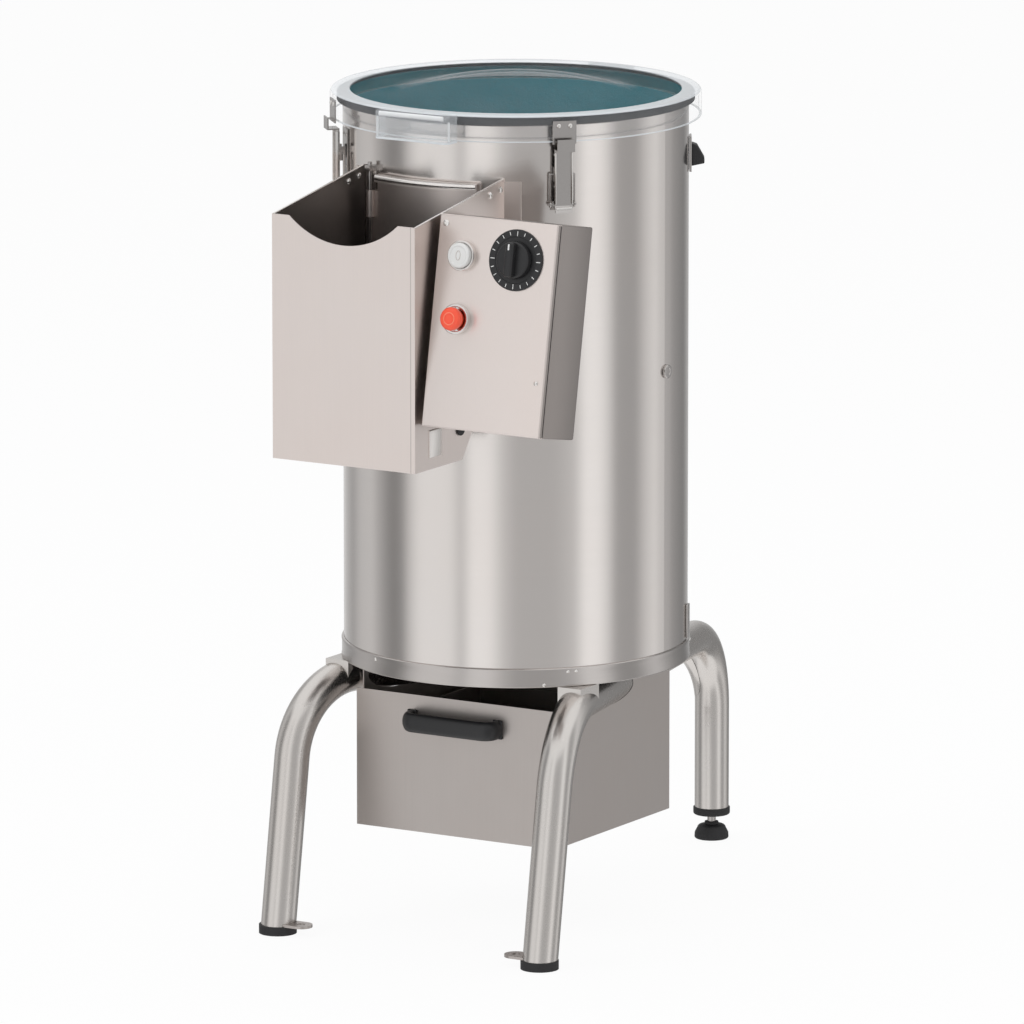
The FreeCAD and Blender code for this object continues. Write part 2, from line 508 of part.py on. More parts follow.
# Stand: a bent tube from the right foot to the rear one, and a left tube that meets it
def bent(points, bend, radius):
    """A rod along straight runs joined by tangent arcs."""
    edges = []
    start = points[0]
    for before, corner, after in zip(points, points[1:], points[2:]):
        back = (before - corner).normalize()
        ahead = (after - corner).normalize()
        half = (math.pi - back.getAngle(ahead)) / 2
        reach = bend * math.tan(half)
        first = corner + back * reach
        last = corner + ahead * reach
        middle = (back + ahead).normalize()
        centre = corner + middle * (bend / math.cos(half))
        edges.append(Part.LineSegment(start, first).toShape())
        edges.append(Part.Arc(first, centre - middle * bend, last).toShape())
        start = last
    edges.append(Part.LineSegment(start, points[-1]).toShape())
    path = Part.Wire(edges)
    section = Part.Wire([Part.makeCircle(radius, points[0], points[1] - points[0])])
    return path.makePipeShell([section], True, True)


def stand_points(side):
    """Corners of a stand tube's centre line, from its front foot back and down to the rear one."""
    lean = math.tan(math.radians(value("leg_lean")))
    knee = value("knee_height")
    return [FreeCAD.Vector(side * value("foot_x"), -value("foot_y"), 0),
            FreeCAD.Vector(side * value("foot_x"), -value("foot_y") + knee * lean, knee),
            FreeCAD.Vector(0, value("rear_foot_y"), value("rear_height")),
            FreeCAD.Vector(0, value("rear_foot_y"), value("rear_tube_low"))]


def stand_rod(side, radius):
    """A stand tube's centre line as a solid rod."""
    return bent(stand_points(side), value("bend_radius"), radius)


outer = value("tube_radius")
bore = outer - value("tube_wall")
under_feet = Part.makeBox(1000, 300, value("pad_height") + 50,
                          FreeCAD.Vector(-500, -value("foot_y") - 150, -50))
right_tube = doc.addObject("Part::Feature", "right_tube")
right_tube.Shape = stand_rod(1, outer).cut(stand_rod(1, bore)).cut(under_feet)
node(right_tube, "stand_tube_right")
left_hollow = stand_rod(-1, outer).cut(stand_rod(-1, bore)).cut(under_feet)
left_mitred = left_hollow.cut(stand_rod(1, outer + value("mitre_gap")))
left_tube = doc.addObject("Part::Feature", "left_tube")
left_tube.Shape = max(left_mitred.Solids, key=lambda solid: solid.Volume)
node(left_tube, "stand_tube_left")

# Front feet: end plugs and anchor plates; rear foot: cap, stem and pad
for side, sign in (("left", "-"), ("right", "")):
    x = sign + "foot_x"
    node(rod("pad_" + side, "tube_radius + pad_proud", "pad_height", x, "-foot_y", "0"),
         "foot_plug_" + side)
    inward = "-" if side == "right" else ""
    tongue = block("anchor_bar_" + side, "0", "-anchor_width / 2", "0", "anchor_length - 13",
                   "anchor_width", "anchor_thick")
    tip = rod("anchor_tip_" + side, "anchor_width / 2", "anchor_thick", "anchor_length - 13")
    eye = rod("anchor_eye_" + side, "anchor_hole", "anchor_thick * 3", "anchor_length - 13", "0",
              "-anchor_thick")
    turn = "0" if side == "left" else "180"
    bar = cut("anchor_bored_" + side, fused("anchor_all_" + side, tongue, tip), eye)
    tab = place(bar, x, "-foot_y", "pad_height", turn)
    void = rod("anchor_void_" + side, "tube_radius + seat_gap", "60", x,
               "(pad_height + anchor_thick / 2) * tan(leg_lean) - foot_y", "0")
    node(cut("anchor_cut_" + side, tab, void), "anchor_plate_" + side)
node(rod("rear_cap", "tube_radius + pad_proud", "cap_height", "0", "rear_foot_y",
         "rear_tube_low - cap_height"), "rear_tube_cap")
node(rod("rear_stem", "stem_radius", "rear_tube_low - cap_height - foot_height", "0", "rear_foot_y",
         "foot_height"), "rear_foot_stem")
foot_turn = turned("rear_foot", [
    ("0", "0"), ("foot_radius - 3", "0"), ("foot_radius", "4"), ("foot_radius", "foot_height * 0.5"),
    ("foot_radius * 0.55", "foot_height * 0.85"), ("foot_radius * 0.3", "foot_height"),
    ("0", "foot_height")])
node(place(foot_turn, "0", "rear_foot_y"), "rear_foot_pad")

# Saddles between the tubes and the drum's base
knee, rear = stand_points(1)[1:3]


def run_at(y):
    """The place on the right tube's long run at a depth."""
    return knee + (rear - knee) * ((y - knee.y) / (rear.y - knee.y))


for place_name, y_text in (("front", "-saddle_front_y"), ("rear", "saddle_rear_y")):
    for side, sign in (("left", -1), ("right", 1)):
        spot = run_at(value(y_text))
        saddle = Part.makeBox(value("saddle_width"), value("saddle_length"),
                              value("drum_bottom") - spot.z,
                              FreeCAD.Vector(sign * spot.x - value("saddle_width") / 2,
                                             spot.y - value("saddle_length") / 2, spot.z))
        piece = doc.addObject("Part::Feature", "saddle_%s_%s" % (place_name, side))
        piece.Shape = saddle.cut(stand_rod(sign, outer))
        piece.Shape = max(piece.Shape.Solids, key=lambda solid: solid.BoundBox.ZMax)
        node(piece, "saddle_%s_%s" % (place_name, side))

# Drawer housing: two side plates coped round the tubes, and a back plate
for side, sign in (("left", -1), ("right", 1)):
    low_x = sign * value("housing_half") - (value("sheet_thick") if sign > 0 else 0)
    plate = Part.makeBox(value("sheet_thick"), value("housing_front") + value("housing_back"),
                         value("drum_bottom") - value("housing_low"),
                         FreeCAD.Vector(low_x, -value("housing_front"), value("housing_low")))
    runner = Part.makeBox(value("runner_width"),
                          value("housing_front") + value("housing_back") - value("sheet_thick"),
                          value("sheet_thick"),
                          FreeCAD.Vector(low_x if sign < 0 else low_x + value("sheet_thick")
                                         - value("runner_width"), -value("housing_front"),
                                         value("runner_low")))
    piece = doc.addObject("Part::Feature", "housing_" + side)
    piece.Shape = plate.fuse(runner).cut(stand_rod(sign, outer + value("seat_gap")))
    piece.Shape = max(piece.Shape.Solids, key=lambda solid: solid.Volume)
    node(piece, "housing_side_" + side)
back = Part.makeBox(2 * value("housing_half") - 2 * value("sheet_thick"), value("sheet_thick"),
                    run_at(value("housing_back")).z - outer - value("housing_low") - 2,
                    FreeCAD.Vector(-value("housing_half") + value("sheet_thick"),
                                   value("housing_back") - value("sheet_thick"),
                                   value("housing_low")))
piece = doc.addObject("Part::Feature", "housing_back_plate")
piece.Shape = back
node(piece, "housing_back")

# Filter drawer: open box with side lips, a taller front and a bow handle
HALF = "(housing_half - sheet_thick - drawer_side_gap - lip_width)"
tray_outer = block("tray_outer", "-" + HALF, "-drawer_front", "housing_low + 3", HALF + " * 2",
                   "drawer_front + housing_back - sheet_thick - drawer_back_gap",
                   "drawer_high - housing_low - 3")
tray_inner = block("tray_inner", "-%s + sheet_thick" % HALF, "-drawer_front + sheet_thick",
                   "housing_low + 3 + sheet_thick", HALF + " * 2 - sheet_thick * 2",
                   "drawer_front + housing_back - sheet_thick * 3 - drawer_back_gap",
                   "drawer_high - housing_low")
tray_shell = cut("tray_shell", tray_outer, tray_inner)
lips = []
for side, start in (("left", "-%s - lip_width" % HALF), ("right", HALF)):
    lips.append(block("tray_lip_" + side, start, "-housing_front + 2",
                      "runner_low + sheet_thick + seat_gap", "lip_width",
                      "housing_front + housing_back - sheet_thick - drawer_back_gap - 2", "2"))
node(fused("tray_all", tray_shell, *lips), "drawer_tray")
node(block("drawer_front_plate", "-housing_half", "-drawer_front - sheet_thick", "housing_low",
           "housing_half * 2", "sheet_thick", "drawer_front_high - housing_low"), "drawer_front")
bow = prism("handle_bow", "XY_Plane", [
    ("-handle_width / 2", "0"), ("-handle_width / 2", "handle_corner - handle_proud"),
    ("handle_corner - handle_width / 2", "-handle_proud"),
    ("handle_width / 2 - handle_corner", "-handle_proud"),
    ("handle_width / 2", "handle_corner - handle_proud"), ("handle_width / 2", "0"),
    ("handle_width / 2 - handle_bar - 3", "0"),
    ("handle_width / 2 - handle_bar - 3", "handle_corner - handle_proud"),
    ("handle_width / 2 - handle_corner - 3", "handle_bar - handle_proud"),
    ("handle_corner - handle_width / 2 + 3", "handle_bar - handle_proud"),
    ("handle_bar + 3 - handle_width / 2", "handle_corner - handle_proud"),
    ("handle_bar + 3 - handle_width / 2", "0")], "handle_height")
node(place(bow, "0", "-drawer_front - sheet_thick", "handle_z - handle_height / 2"), "drawer_handle")

# Check every object, then write each sub-part
doc.recompute()
for item in doc.Objects:
    if "Invalid" in item.State or "Error" in item.State:
        raise RuntimeError("%s failed: %s" % (item.Name, item.State))
for piece in NODES:
    if piece.Shape.isNull() or not piece.Shape.isValid() or not piece.Shape.Solids:
        raise RuntimeError("%s has no valid shape" % piece.Label)
os.makedirs("parts", exist_ok=True)
for piece in NODES:
    piece.Shape.exportStep("parts/%s.step" % piece.Label)
    box = piece.Shape.BoundBox
    print("%-22s solids %d volume %8.1f cm3  x %7.1f %7.1f  y %7.1f %7.1f  z %6.1f %6.1f" % (
        piece.Label, len(piece.Shape.Solids), piece.Shape.Volume / 1000, box.XMin, box.XMax,
        box.YMin, box.YMax, box.ZMin, box.ZMax))
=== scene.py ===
"""Looks of the drum potato peeler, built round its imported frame.

Every length is in metres. Z is up, the outlet chute faces -Y, and the drum's axis is X = Y = 0.
"""
import math

import bmesh
import bpy
from bpy.props import FloatProperty, FloatVectorProperty, IntProperty, PointerProperty
from mathutils import Matrix, Vector


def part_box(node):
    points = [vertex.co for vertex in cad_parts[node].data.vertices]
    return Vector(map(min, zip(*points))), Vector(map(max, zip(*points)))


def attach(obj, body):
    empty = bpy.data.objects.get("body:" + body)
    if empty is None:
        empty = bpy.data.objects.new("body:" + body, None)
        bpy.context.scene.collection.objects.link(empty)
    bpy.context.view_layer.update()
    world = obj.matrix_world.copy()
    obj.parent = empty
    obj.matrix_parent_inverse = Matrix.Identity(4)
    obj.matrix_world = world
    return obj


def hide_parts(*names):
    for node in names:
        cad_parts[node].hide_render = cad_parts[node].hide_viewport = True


bl_info = {
    "name": "Potato peeler looks",
    "version": (1, 0, 0),
    "blender": (4, 5, 0),
    "location": "View3D > Sidebar > Peeler",
    "description": "Finishes and fine pieces of a drum potato peeler on its tubular stand",
    "category": "Object",
}

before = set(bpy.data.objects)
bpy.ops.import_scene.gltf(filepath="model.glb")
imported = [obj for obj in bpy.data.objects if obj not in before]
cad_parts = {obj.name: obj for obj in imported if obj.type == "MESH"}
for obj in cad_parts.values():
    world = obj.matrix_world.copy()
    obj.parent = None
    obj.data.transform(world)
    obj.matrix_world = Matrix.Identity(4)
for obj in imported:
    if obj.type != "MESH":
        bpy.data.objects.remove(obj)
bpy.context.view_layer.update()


def low(node):
    """Lowest corner of a CAD node at rest."""
    return Vector(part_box(node)[0])


def high(node):
    """Highest corner of a CAD node at rest."""
    return Vector(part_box(node)[1])


# Lid, drum and latches, read from the frame where its boxes give them
SHEET = 0.0015
DRUM_R = high("base_plate").x + SHEET
DRUM_TOP = high("drum_shell").z
LID_R = high("lid").x
LID_LOW = low("lid").z
LID_TOP = high("lid_grip").z
DOME_TOP = high("lid").z
DOME_R = 0.139
RING_WIDTH = 0.023
WELL_DEPTH = 0.006
LATCH_ANGLE = math.radians(46)
LATCH_LOW = low("latch_base_right").z
LATCH_HIGH = high("latch_base_right").z
SWITCH_ANGLE = math.radians(121)
TAB_ANGLE = math.radians(113)

# Distance within which a corner counts as lying on a plane
NEAR = 1e-5

# Chute and door
CHUTE_LOW = low("chute")
CHUTE_HIGH = high("chute")
CHUTE_FRONT_TOP = 0.850
CHUTE_BACK = -0.175
DOOR_TOP = high("outlet_door").z
BOLTS_Y = (-0.206, -0.184)
BOLT_DROP = 0.010
BRACKET_LOW = (-0.335, 0.588)
BRACKET_HIGH = (-0.309, 0.619)
GROMMET_SPOT = (-0.269, 0.610)

# Control box, with places across and up its leaning face
BOX_TILT = math.radians(10.2)
BOX_SIZE = Vector((high("control_box").x - low("control_box").x, 0.077, 0.235))
BOX_FACE = (Matrix.Translation((low("control_box").x, low("control_box").y, 0.6295))
            @ Matrix.Rotation(-BOX_TILT, 4, "X"))
DIAL_SPOT = (0.102, BOX_SIZE.z - 0.043)
START_SPOT = (0.034, BOX_SIZE.z - 0.044)
STOP_SPOT = (0.034, BOX_SIZE.z - 0.114)
DIAL_R = 0.034
DIAL_THICK = 0.0025
KNOB_R = 0.021
KNOB_TOP = 0.0194
BEZEL_R = 0.017
BEZEL_OUT = 0.007
START_R = 0.014
START_OUT = 0.005
STOP_R = 0.013
STOP_OUT = 0.012

# Drawer and stand
HANDLE_LOW = low("drawer_handle")
HANDLE_HIGH = high("drawer_handle")
HANDLE_HALF_DEPTH = 0.0062
HANDLE_BEND = 0.012
TUBE_R = 0.020


def length(name, description, default):
    return FloatProperty(name=name, description=description, default=default, unit="LENGTH")


def tint(name, description, default):
    return FloatVectorProperty(name=name, description=description, default=default, subtype="COLOR")


class PeelerSizes(bpy.types.PropertyGroup):
    """Sizes of the fine pieces."""

    rim_round: length("Lid rounding", "Radius of the lid's outer shoulder", 0.005)
    lid_wall: length("Lid wall", "Thickness of the clear lid", 0.003)
    sheet_fold: length("Sheet fold", "Outer radius of a fold in sheet steel", 0.0022)
    hem_radius: length("Hem radius", "Radius of a rolled sheet edge", 0.0014)
    rivet_radius: length("Rivet radius", "Radius of a rivet's head", 0.0026)
    bolt_radius: length("Bolt radius", "Radius of a bolt's head", 0.0042)
    dial_marks: IntProperty(name="Dial marks", description="Number of marks round the timer's dial",
                            default=20)
    mark_length: length("Mark length", "Length of a mark on the dial", 0.0042)
    soft_edge: length("Soft edge", "Rounding of moulded plastic and rubber", 0.0022)
    weld_bead: length("Weld bead", "Radius of a weld bead", 0.0022)


class PeelerFinishes(bpy.types.PropertyGroup):
    """Colours of the finishes."""

    drum: tint("Drum steel", "Colour of the drum's steel", (0.74, 0.71, 0.69))
    sheet: tint("Sheet steel", "Colour of the chute and box", (0.80, 0.735, 0.705))
    dull: tint("Dull sheet", "Colour of the drawer and its housing", (0.52, 0.485, 0.465))
    tube: tint("Tube steel", "Colour of the stand's tubes", (0.66, 0.64, 0.62))
    liner: tint("Liner", "Colour of the drum's lining", (0.010, 0.200, 0.250))
    black: tint("Black plastic", "Colour of the dial and handle", (0.012, 0.012, 0.013))
    stop: tint("Stop button", "Colour of the stop button", (0.93, 0.075, 0.028))


class Wire:
    """A socket of a finish's nodes; arithmetic on it adds Math nodes."""

    def __init__(self, finish, socket):
        self.finish = finish
        self.socket = socket

    def math(self, operation, first, second):
        return self.finish.add("ShaderNodeMath", {"operation": operation}, {0: first, 1: second})

    def __add__(self, other):
        return self.math("ADD", self, other)

    __radd__ = __add__

    def __sub__(self, other):
        return self.math("SUBTRACT", self, other)

    def __rsub__(self, other):
        return self.math("SUBTRACT", other, self)

    def __mul__(self, other):
        return self.math("MULTIPLY", self, other)

    __rmul__ = __mul__


class Finish:
    """A material whose nodes are added by one method."""

    def __init__(self, name, **sockets):
        self.material = bpy.data.materials.new(name)
        self.material.use_nodes = True
        self.nodes = self.material.node_tree.nodes
        self.links = self.material.node_tree.links
        self.shader = self.nodes["Principled BSDF"]
        self.output = self.nodes["Material Output"]
        for socket, value in sockets.items():
            self.feed(self.shader.inputs[socket.replace("_", " ")], value)
        self.object = self.add("ShaderNodeTexCoord", {}, {}, "Object")

    def feed(self, socket, value):
        """Link a wire into a socket, or set the socket to a plain value."""
        if isinstance(value, Wire):
            self.links.new(value.socket, socket)
        else:
            socket.default_value = value

    def add(self, kind, settings, inputs, out=0):
        """Add a node: its settings first, then the values or links of its sockets."""
        made = self.nodes.new(kind)
        for name, value in settings.items():
            if name == "stops":
                ramp = made.color_ramp.elements
                while len(ramp) < len(value):
                    ramp.new(0.5)
                for stop, (position, colour) in zip(ramp, value):
                    stop.position = position
                    stop.color = (*colour, 1) if isinstance(colour, tuple) else (colour,) * 3 + (1,)
            else:
                setattr(made, name, value)
        for name, value in inputs.items():
            self.feed(made.inputs[name], value)
        return Wire(self, made.outputs[out])

    def noise(self, scale, detail=2.0, rough=0.5, stretch=(1, 1, 1)):
        """Soft noise on object coordinates, stretched along the axes."""
        where = self.add("ShaderNodeMapping", {}, {"Vector": self.object, "Scale": stretch})
        return self.add("ShaderNodeTexNoise", {}, {"Vector": where, "Scale": scale, "Detail": detail,
                                                   "Roughness": rough})

    def parts(self):
        """The three object coordinates."""
        split = self.add("ShaderNodeSeparateXYZ", {}, {0: self.object})
        outputs = split.socket.node.outputs
        return [Wire(self, outputs[axis]) for axis in range(3)]

    def rise(self, value, start, end):
        """A ramp from 0 at start to 1 at end."""
        return self.add("ShaderNodeMapRange", {"clamp": True},
                        {"Value": value, "From Min": start, "From Max": end})

    def mix(self, factor, first, second):
        """Blend of two colours."""
        return self.add("ShaderNodeMix", {"data_type": "RGBA"},
                        {0: factor, 6: first, 7: second}, 2)

    def base(self, colour):
        self.feed(self.shader.inputs["Base Color"], colour)

    def rough(self, value):
        self.feed(self.shader.inputs["Roughness"], value)

    def bump(self, height, strength, distance):
        normal = self.add("ShaderNodeBump", {}, {"Height": height, "Strength": strength,
                                                 "Distance": distance})
        self.feed(self.shader.inputs["Normal"], normal)


def shade(colour, factor):
    """A colour made lighter or darker."""
    return tuple(min(1.0, part * factor) for part in colour) + (1,)


def brushed(name, colour, rough, grain, spread=0.04, depth=0.35, painted_shade_mask=None):
    """Satin steel with a fine grain along one direction, faint stains, a soft mottle and, where a mask is
    given, painted shade.
    """
    finish = Finish(name, Metallic=1.0)
    lines = finish.noise(1.0, 3.0, 0.6, grain)
    stains = finish.noise(7.0, 3.0, 0.55)
    mottle = finish.noise(38.0, 2.0, 0.5)
    warm = (min(1.0, colour[0] * 1.02), colour[1] * 0.985, colour[2] * 0.965, 1)
    tint = finish.mix(stains, shade(colour, 1.0), warm)
    steel = finish.mix(lines * depth, tint, shade(colour, 0.88))
    # Painted shade: where the mask is given, the steel is darkened towards 0.30 of its colour.
    if painted_shade_mask:
        steel = finish.mix(painted_shade_mask(finish), steel, shade(colour, 0.30))
    finish.base(steel)
    finish.rough(rough + (lines - 0.5) * spread + (mottle - 0.5) * spread + (stains - 0.5) * spread)
    finish.bump(lines, depth * 0.28, 0.0002)
    return finish.material


def painted_chute_shade(finish):
    """Painted shade on the chute's inner faces, and a painted shade line along its front fold."""
    across, along, up = finish.parts()

    def past(value, at, soft=0.0001):
        return finish.rise(value, at - soft, at + soft)

    behind = past(along, CHUTE_LOW.y + 0.0008)
    inside_shade = past(across, CHUTE_LOW.x + 0.0008) * (1 - past(across, CHUTE_HIGH.x - 0.0008)) * behind
    fold = (past(across, CHUTE_HIGH.x - 0.0060, 0.0002)
            * (1 - past(across, CHUTE_HIGH.x - 0.0050, 0.0002)) * (1 - behind))
    return inside_shade * 0.9 + fold * 0.45


def moulded(name, colour, rough, grain=900.0, strength=0.12, **sockets):
    """Plastic or rubber with a fine moulded texture."""
    finish = Finish(name, **sockets)
    spots = finish.noise(grain, 2.0, 0.5)
    dust = finish.noise(25.0, 3.0, 0.6)
    finish.base(finish.mix(dust * 0.5, shade(colour, 1.0), shade(colour, 1.6)))
    finish.rough(rough + (dust - 0.5) * 0.12)
    finish.bump(spots, strength, 0.0002)
    return finish.material


def painted(name, colour, rough, grain, strength, height):
    """Coarse paint or grit."""
    finish = Finish(name)
    grit = finish.noise(grain, 4.0, 0.65)
    cloud = finish.noise(9.0, 3.0, 0.5)
    finish.base(finish.mix(grit, shade(colour, 0.7), finish.mix(cloud, shade(colour, 1.05),
                                                              shade(colour, 1.45))))
    finish.rough(rough + (grit - 0.5) * 0.2)
    finish.bump(grit, strength, height)
    return finish.material


def clear(name, veil, painted_ring_highlight=0.0):
    """Clear moulded plastic: a faint veil, thickened as painted sheen at a glancing look, as a painted
    highlight on the cut bottom edge and, where given, as a painted highlight on the ring's flat top.
    """
    finish = Finish(name, IOR=1.49, Specular_IOR_Level=0.75)
    across, along, up = finish.parts()
    haze = finish.noise(14.0, 3.0, 0.6)
    scratches = finish.noise(1.0, stretch=(60, 700, 60))
    radius = finish.add("ShaderNodeMath", {"operation": "SQRT"}, {0: across * across + along * along})
    sheen_facing = finish.add("ShaderNodeLayerWeight", {}, {"Blend": 0.5}, "Facing")
    ring_in = LID_R - RING_WIDTH
    ring_highlight_mask = (finish.rise(radius, ring_in - 0.0005, ring_in + 0.001)
                * finish.rise(up, LID_TOP - 0.0022, LID_TOP - 0.0014))
    foot = 1 - finish.rise(up, LID_LOW + 0.0008, LID_LOW + 0.0016)
    # Painted sheen at a glance, and painted highlights on the ring's flat top and the skirt's bottom edge,
    # all as a thicker pale veil.
    cover = (haze * 0.04 + veil + ring_highlight_mask * painted_ring_highlight + foot * 0.6
             + finish.rise(sheen_facing, 0.89, 1.0) * 0.50)
    finish.base(finish.mix(haze, (0.90, 0.93, 0.95, 1), (0.82, 0.87, 0.90, 1)))
    finish.rough(0.05 + haze * 0.06)
    finish.feed(finish.shader.inputs["Alpha"],
                finish.add("ShaderNodeMath", {"operation": "MINIMUM"}, {0: cover, 1: 0.97}))
    finish.bump(scratches, 0.04, 0.0001)
    return finish.material


FINISHES = {}


def make_finishes(colours):
    """Every finish of the part, by name."""
    FINISHES.update({
        "drum": brushed("drum_steel_brushed", colours.drum, 0.17, (5, 5, 1500)),
        "flange": brushed("flange_steel_brushed", shade(colours.drum, 0.74)[:3], 0.22, (5, 5, 900)),
        "sheet": brushed("sheet_steel_satin", colours.sheet, 0.34, (1100, 1100, 7)),
        # The chute's steel carries painted shade on its inner faces and along its front fold.
        "chute": brushed("chute_steel_painted_shade", colours.sheet, 0.34, (1100, 1100, 7),
                         painted_shade_mask=painted_chute_shade),
        # Lit and shaded copies of the box's sheet steel: painted light on the leaning cover, painted shade
        # on the body and its sides.
        "box_painted_light": brushed("box_cover_painted_light", shade(colours.sheet, 1.04)[:3], 0.36, (1100, 1100, 7)),
        "box_painted_shade": brushed("box_body_painted_shade", shade(colours.sheet, 0.50)[:3], 0.34, (900, 900, 12)),
        "dull": brushed("sheet_steel_dull", colours.dull, 0.38, (900, 900, 9)),
        # A lighter copy of the steel for rolled and cut edges, the bracket and the door's roll: painted
        # highlight.
        "lighter_steel_painted_highlight": brushed("hem_steel_painted_highlight", (0.86, 0.84, 0.82), 0.24, (300, 300, 300)),
        "tube": brushed("tube_steel_satin", colours.tube, 0.27, (420, 420, 60), 0.02, 0.05),
        "bright": brushed("fittings_steel_satin", (0.50, 0.485, 0.475), 0.22, (500, 500, 500)),
        "rivet": brushed("rivet_steel_bright", (0.80, 0.79, 0.775), 0.15, (600, 600, 600)),
        "bezel": brushed("bezel_steel_polished", (0.72, 0.70, 0.685), 0.12, (700, 700, 700)),
        "weld": brushed("weld_bead_steel", (0.50, 0.47, 0.44), 0.38, (420, 420, 420), 0.2),
        # Near-black painted shadow for the base plate under the drum.
        "shadow": painted("base_painted_shadow", (0.012, 0.011, 0.010), 0.7, 300.0, 0.2, 0.0003),
        "liner": painted("liner_grit_teal", colours.liner, 0.5, 260.0, 0.5, 0.001),
        "grit": painted("disc_grit_grey", (0.42, 0.41, 0.39), 0.8, 340.0, 0.9, 0.0018),
        "motor": painted("motor_paint_grey", (0.12, 0.14, 0.17), 0.45, 120.0, 0.15, 0.0004),
        # The lid's flat ring top gets a painted highlight.
        "clear": clear("lid_plastic_clear", 0.02, 0.72),
        "grip": clear("grip_plastic_clear", 0.20),
        # Pale finish of the grip's edge bars: painted highlight.
        "edge": moulded("grip_edge_painted_highlight", (0.80, 0.82, 0.83), 0.25, 600.0, 0.04, Coat_Weight=0.5),
        # Dark rubber, darkened further as painted shadow under the lid's rim.
        "seal": moulded("seal_rubber_painted_shadow", (0.045, 0.045, 0.048), 0.6),
        "black": moulded("black_plastic_moulded", colours.black, 0.42),
        "rubber": moulded("black_rubber_foot", (0.014, 0.014, 0.015), 0.62, 500.0, 0.25),
        "white": moulded("white_cap_plastic", (0.66, 0.66, 0.64), 0.25, 700.0, 0.05, Coat_Weight=0.4),
        "red": moulded("red_cap_plastic", colours.stop, 0.28, 700.0, 0.05, Coat_Weight=0.3),
        "red_mark": moulded("red_cap_ring", (0.95, 0.22, 0.13), 0.3, 700.0, 0.05),
        "mark": moulded("pale_mark_ink", (0.72, 0.72, 0.70), 0.5, 600.0, 0.05),
    })


# The CAD nodes of every finish
FINISH_NODES = {
    "drum": "drum_shell base_flange",
    "shadow": "base_plate",
    "sheet": "chamber_floor outlet_door chute_flange_left chute_flange_right control_box",
    "liner": "abrasive_liner",
    "motor": "motor",
    "grit": "abrasive_disc",
    "bright": ("disc_shaft lid_hinge_leaf lid_hinge_bracket lid_hinge_pin latch_base_left "
               "latch_bail_left latch_lever_left latch_base_right latch_bail_right "
               "latch_lever_right lid_catch_left lid_catch_right door_hinge_post "
               "control_box_spacers start_bezel stop_bezel side_plug rear_foot_stem"),
    "clear": "lid lid_grip",
    # The gasket is dark rubber, darkened further as painted shadow under the lid's rim.
    "seal": "lid_gasket",
    "chute": "chute",
    "black": "timer_dial timer_knob lid_switch drawer_handle",
    "white": "start_button",
    "red": "stop_button",
    "tube": ("stand_tube_right stand_tube_left saddle_front_left saddle_front_right "
             "saddle_rear_left saddle_rear_right"),
    "rubber": "foot_plug_left foot_plug_right rear_tube_cap rear_foot_pad",
    "dull": ("anchor_plate_left anchor_plate_right housing_side_left housing_side_right "
             "housing_back drawer_tray drawer_front"),
}


def piece_from(bm, name, finish, body, replaces=(), crease=35):
    """Make a bmesh into a smooth-shaded piece that rides on a body."""
    bmesh.ops.remove_doubles(bm, verts=bm.verts, dist=1e-6)
    bmesh.ops.recalc_face_normals(bm, faces=bm.faces)
    mesh = bpy.data.meshes.new(name)
    bm.to_mesh(mesh)
    bm.free()
    mesh.shade_smooth()
    mesh.set_sharp_from_angle(angle=math.radians(crease))
    mesh.materials.append(FINISHES[finish])
    piece = bpy.data.objects.new(name, mesh)
    bpy.context.scene.collection.objects.link(piece)
    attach(piece, body)
    if replaces:
        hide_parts(*replaces)


def arc(across, up, radius, first, last, steps=6):
    """Points of an arc in a half outline; angles in degrees from outwards towards up."""
    angles = [math.radians(first + (last - first) * step / steps) for step in range(steps + 1)]
    return [(across + radius * math.cos(a), up + radius * math.sin(a)) for a in angles]


def turned(bm, outline, steps=128, closed=True, place=None):
    """Spin a half outline of radius and height about Z, then put it in its place."""
    corners = [bm.verts.new((radius, 0, height)) for radius, height in outline]
    follow = corners[1:] + corners[:1] if closed else corners[1:]
    edges = [bm.edges.new(pair) for pair in zip(corners, follow)]
    made = set(bm.verts) - set(corners)
    bmesh.ops.spin(bm, geom=corners + edges, cent=(0, 0, 0), axis=(0, 0, 1), angle=math.tau,
                   steps=steps, use_merge=True)
    if place is not None:
        turned_verts = [v for v in bm.verts if v not in made]
        bmesh.ops.transform(bm, matrix=place, verts=turned_verts)
    return bm


def rounded(bm, edges, radius, segments):
    """Round edges, and give the bevel's own faces."""
    return bmesh.ops.bevel(bm, geom=edges, offset=radius, segments=segments, profile=0.5,
                           affect="EDGES", material=-1)["faces"]


def block(bm, corner_low, corner_high, round_by=0.0, segments=3, place=None):
    """A box between two corners with rounded edges, put in its place."""
    size = Vector(corner_high) - Vector(corner_low)
    middle = (Vector(corner_high) + Vector(corner_low)) / 2
    made = bmesh.ops.create_cube(bm, size=1)["verts"]
    bmesh.ops.scale(bm, vec=size, verts=made)
    bmesh.ops.translate(bm, vec=middle, verts=made)
    if round_by:
        faces = rounded(bm, list({edge for vert in made for edge in vert.link_edges}), round_by, segments)
        made = list({vert for face in faces for vert in face.verts}
                    | {vert for vert in made if vert.is_valid})
    if place is not None:
        bmesh.ops.transform(bm, matrix=place, verts=made)
    return bm


def edges_where(bm, test):
    """The edges whose two ends both pass a test on their place."""
    return [edge for edge in bm.edges if all(test(vert.co) for vert in edge.verts)]


def on_box(across, up, out=0.0):
    """The frame of a round piece that stands out of the control box's face."""
    return (BOX_FACE @ Matrix.Translation((across, -out, up)) @ Matrix.Rotation(math.pi / 2, 4, "X"))


def round_drum(angle, height, out=0.0):
    """A frame on the drum's wall: X outwards along the wall's normal, Z up."""
    return (Matrix.Rotation(angle - math.pi / 2, 4, "Z") @ Matrix.Translation((DRUM_R + out, 0, height)))


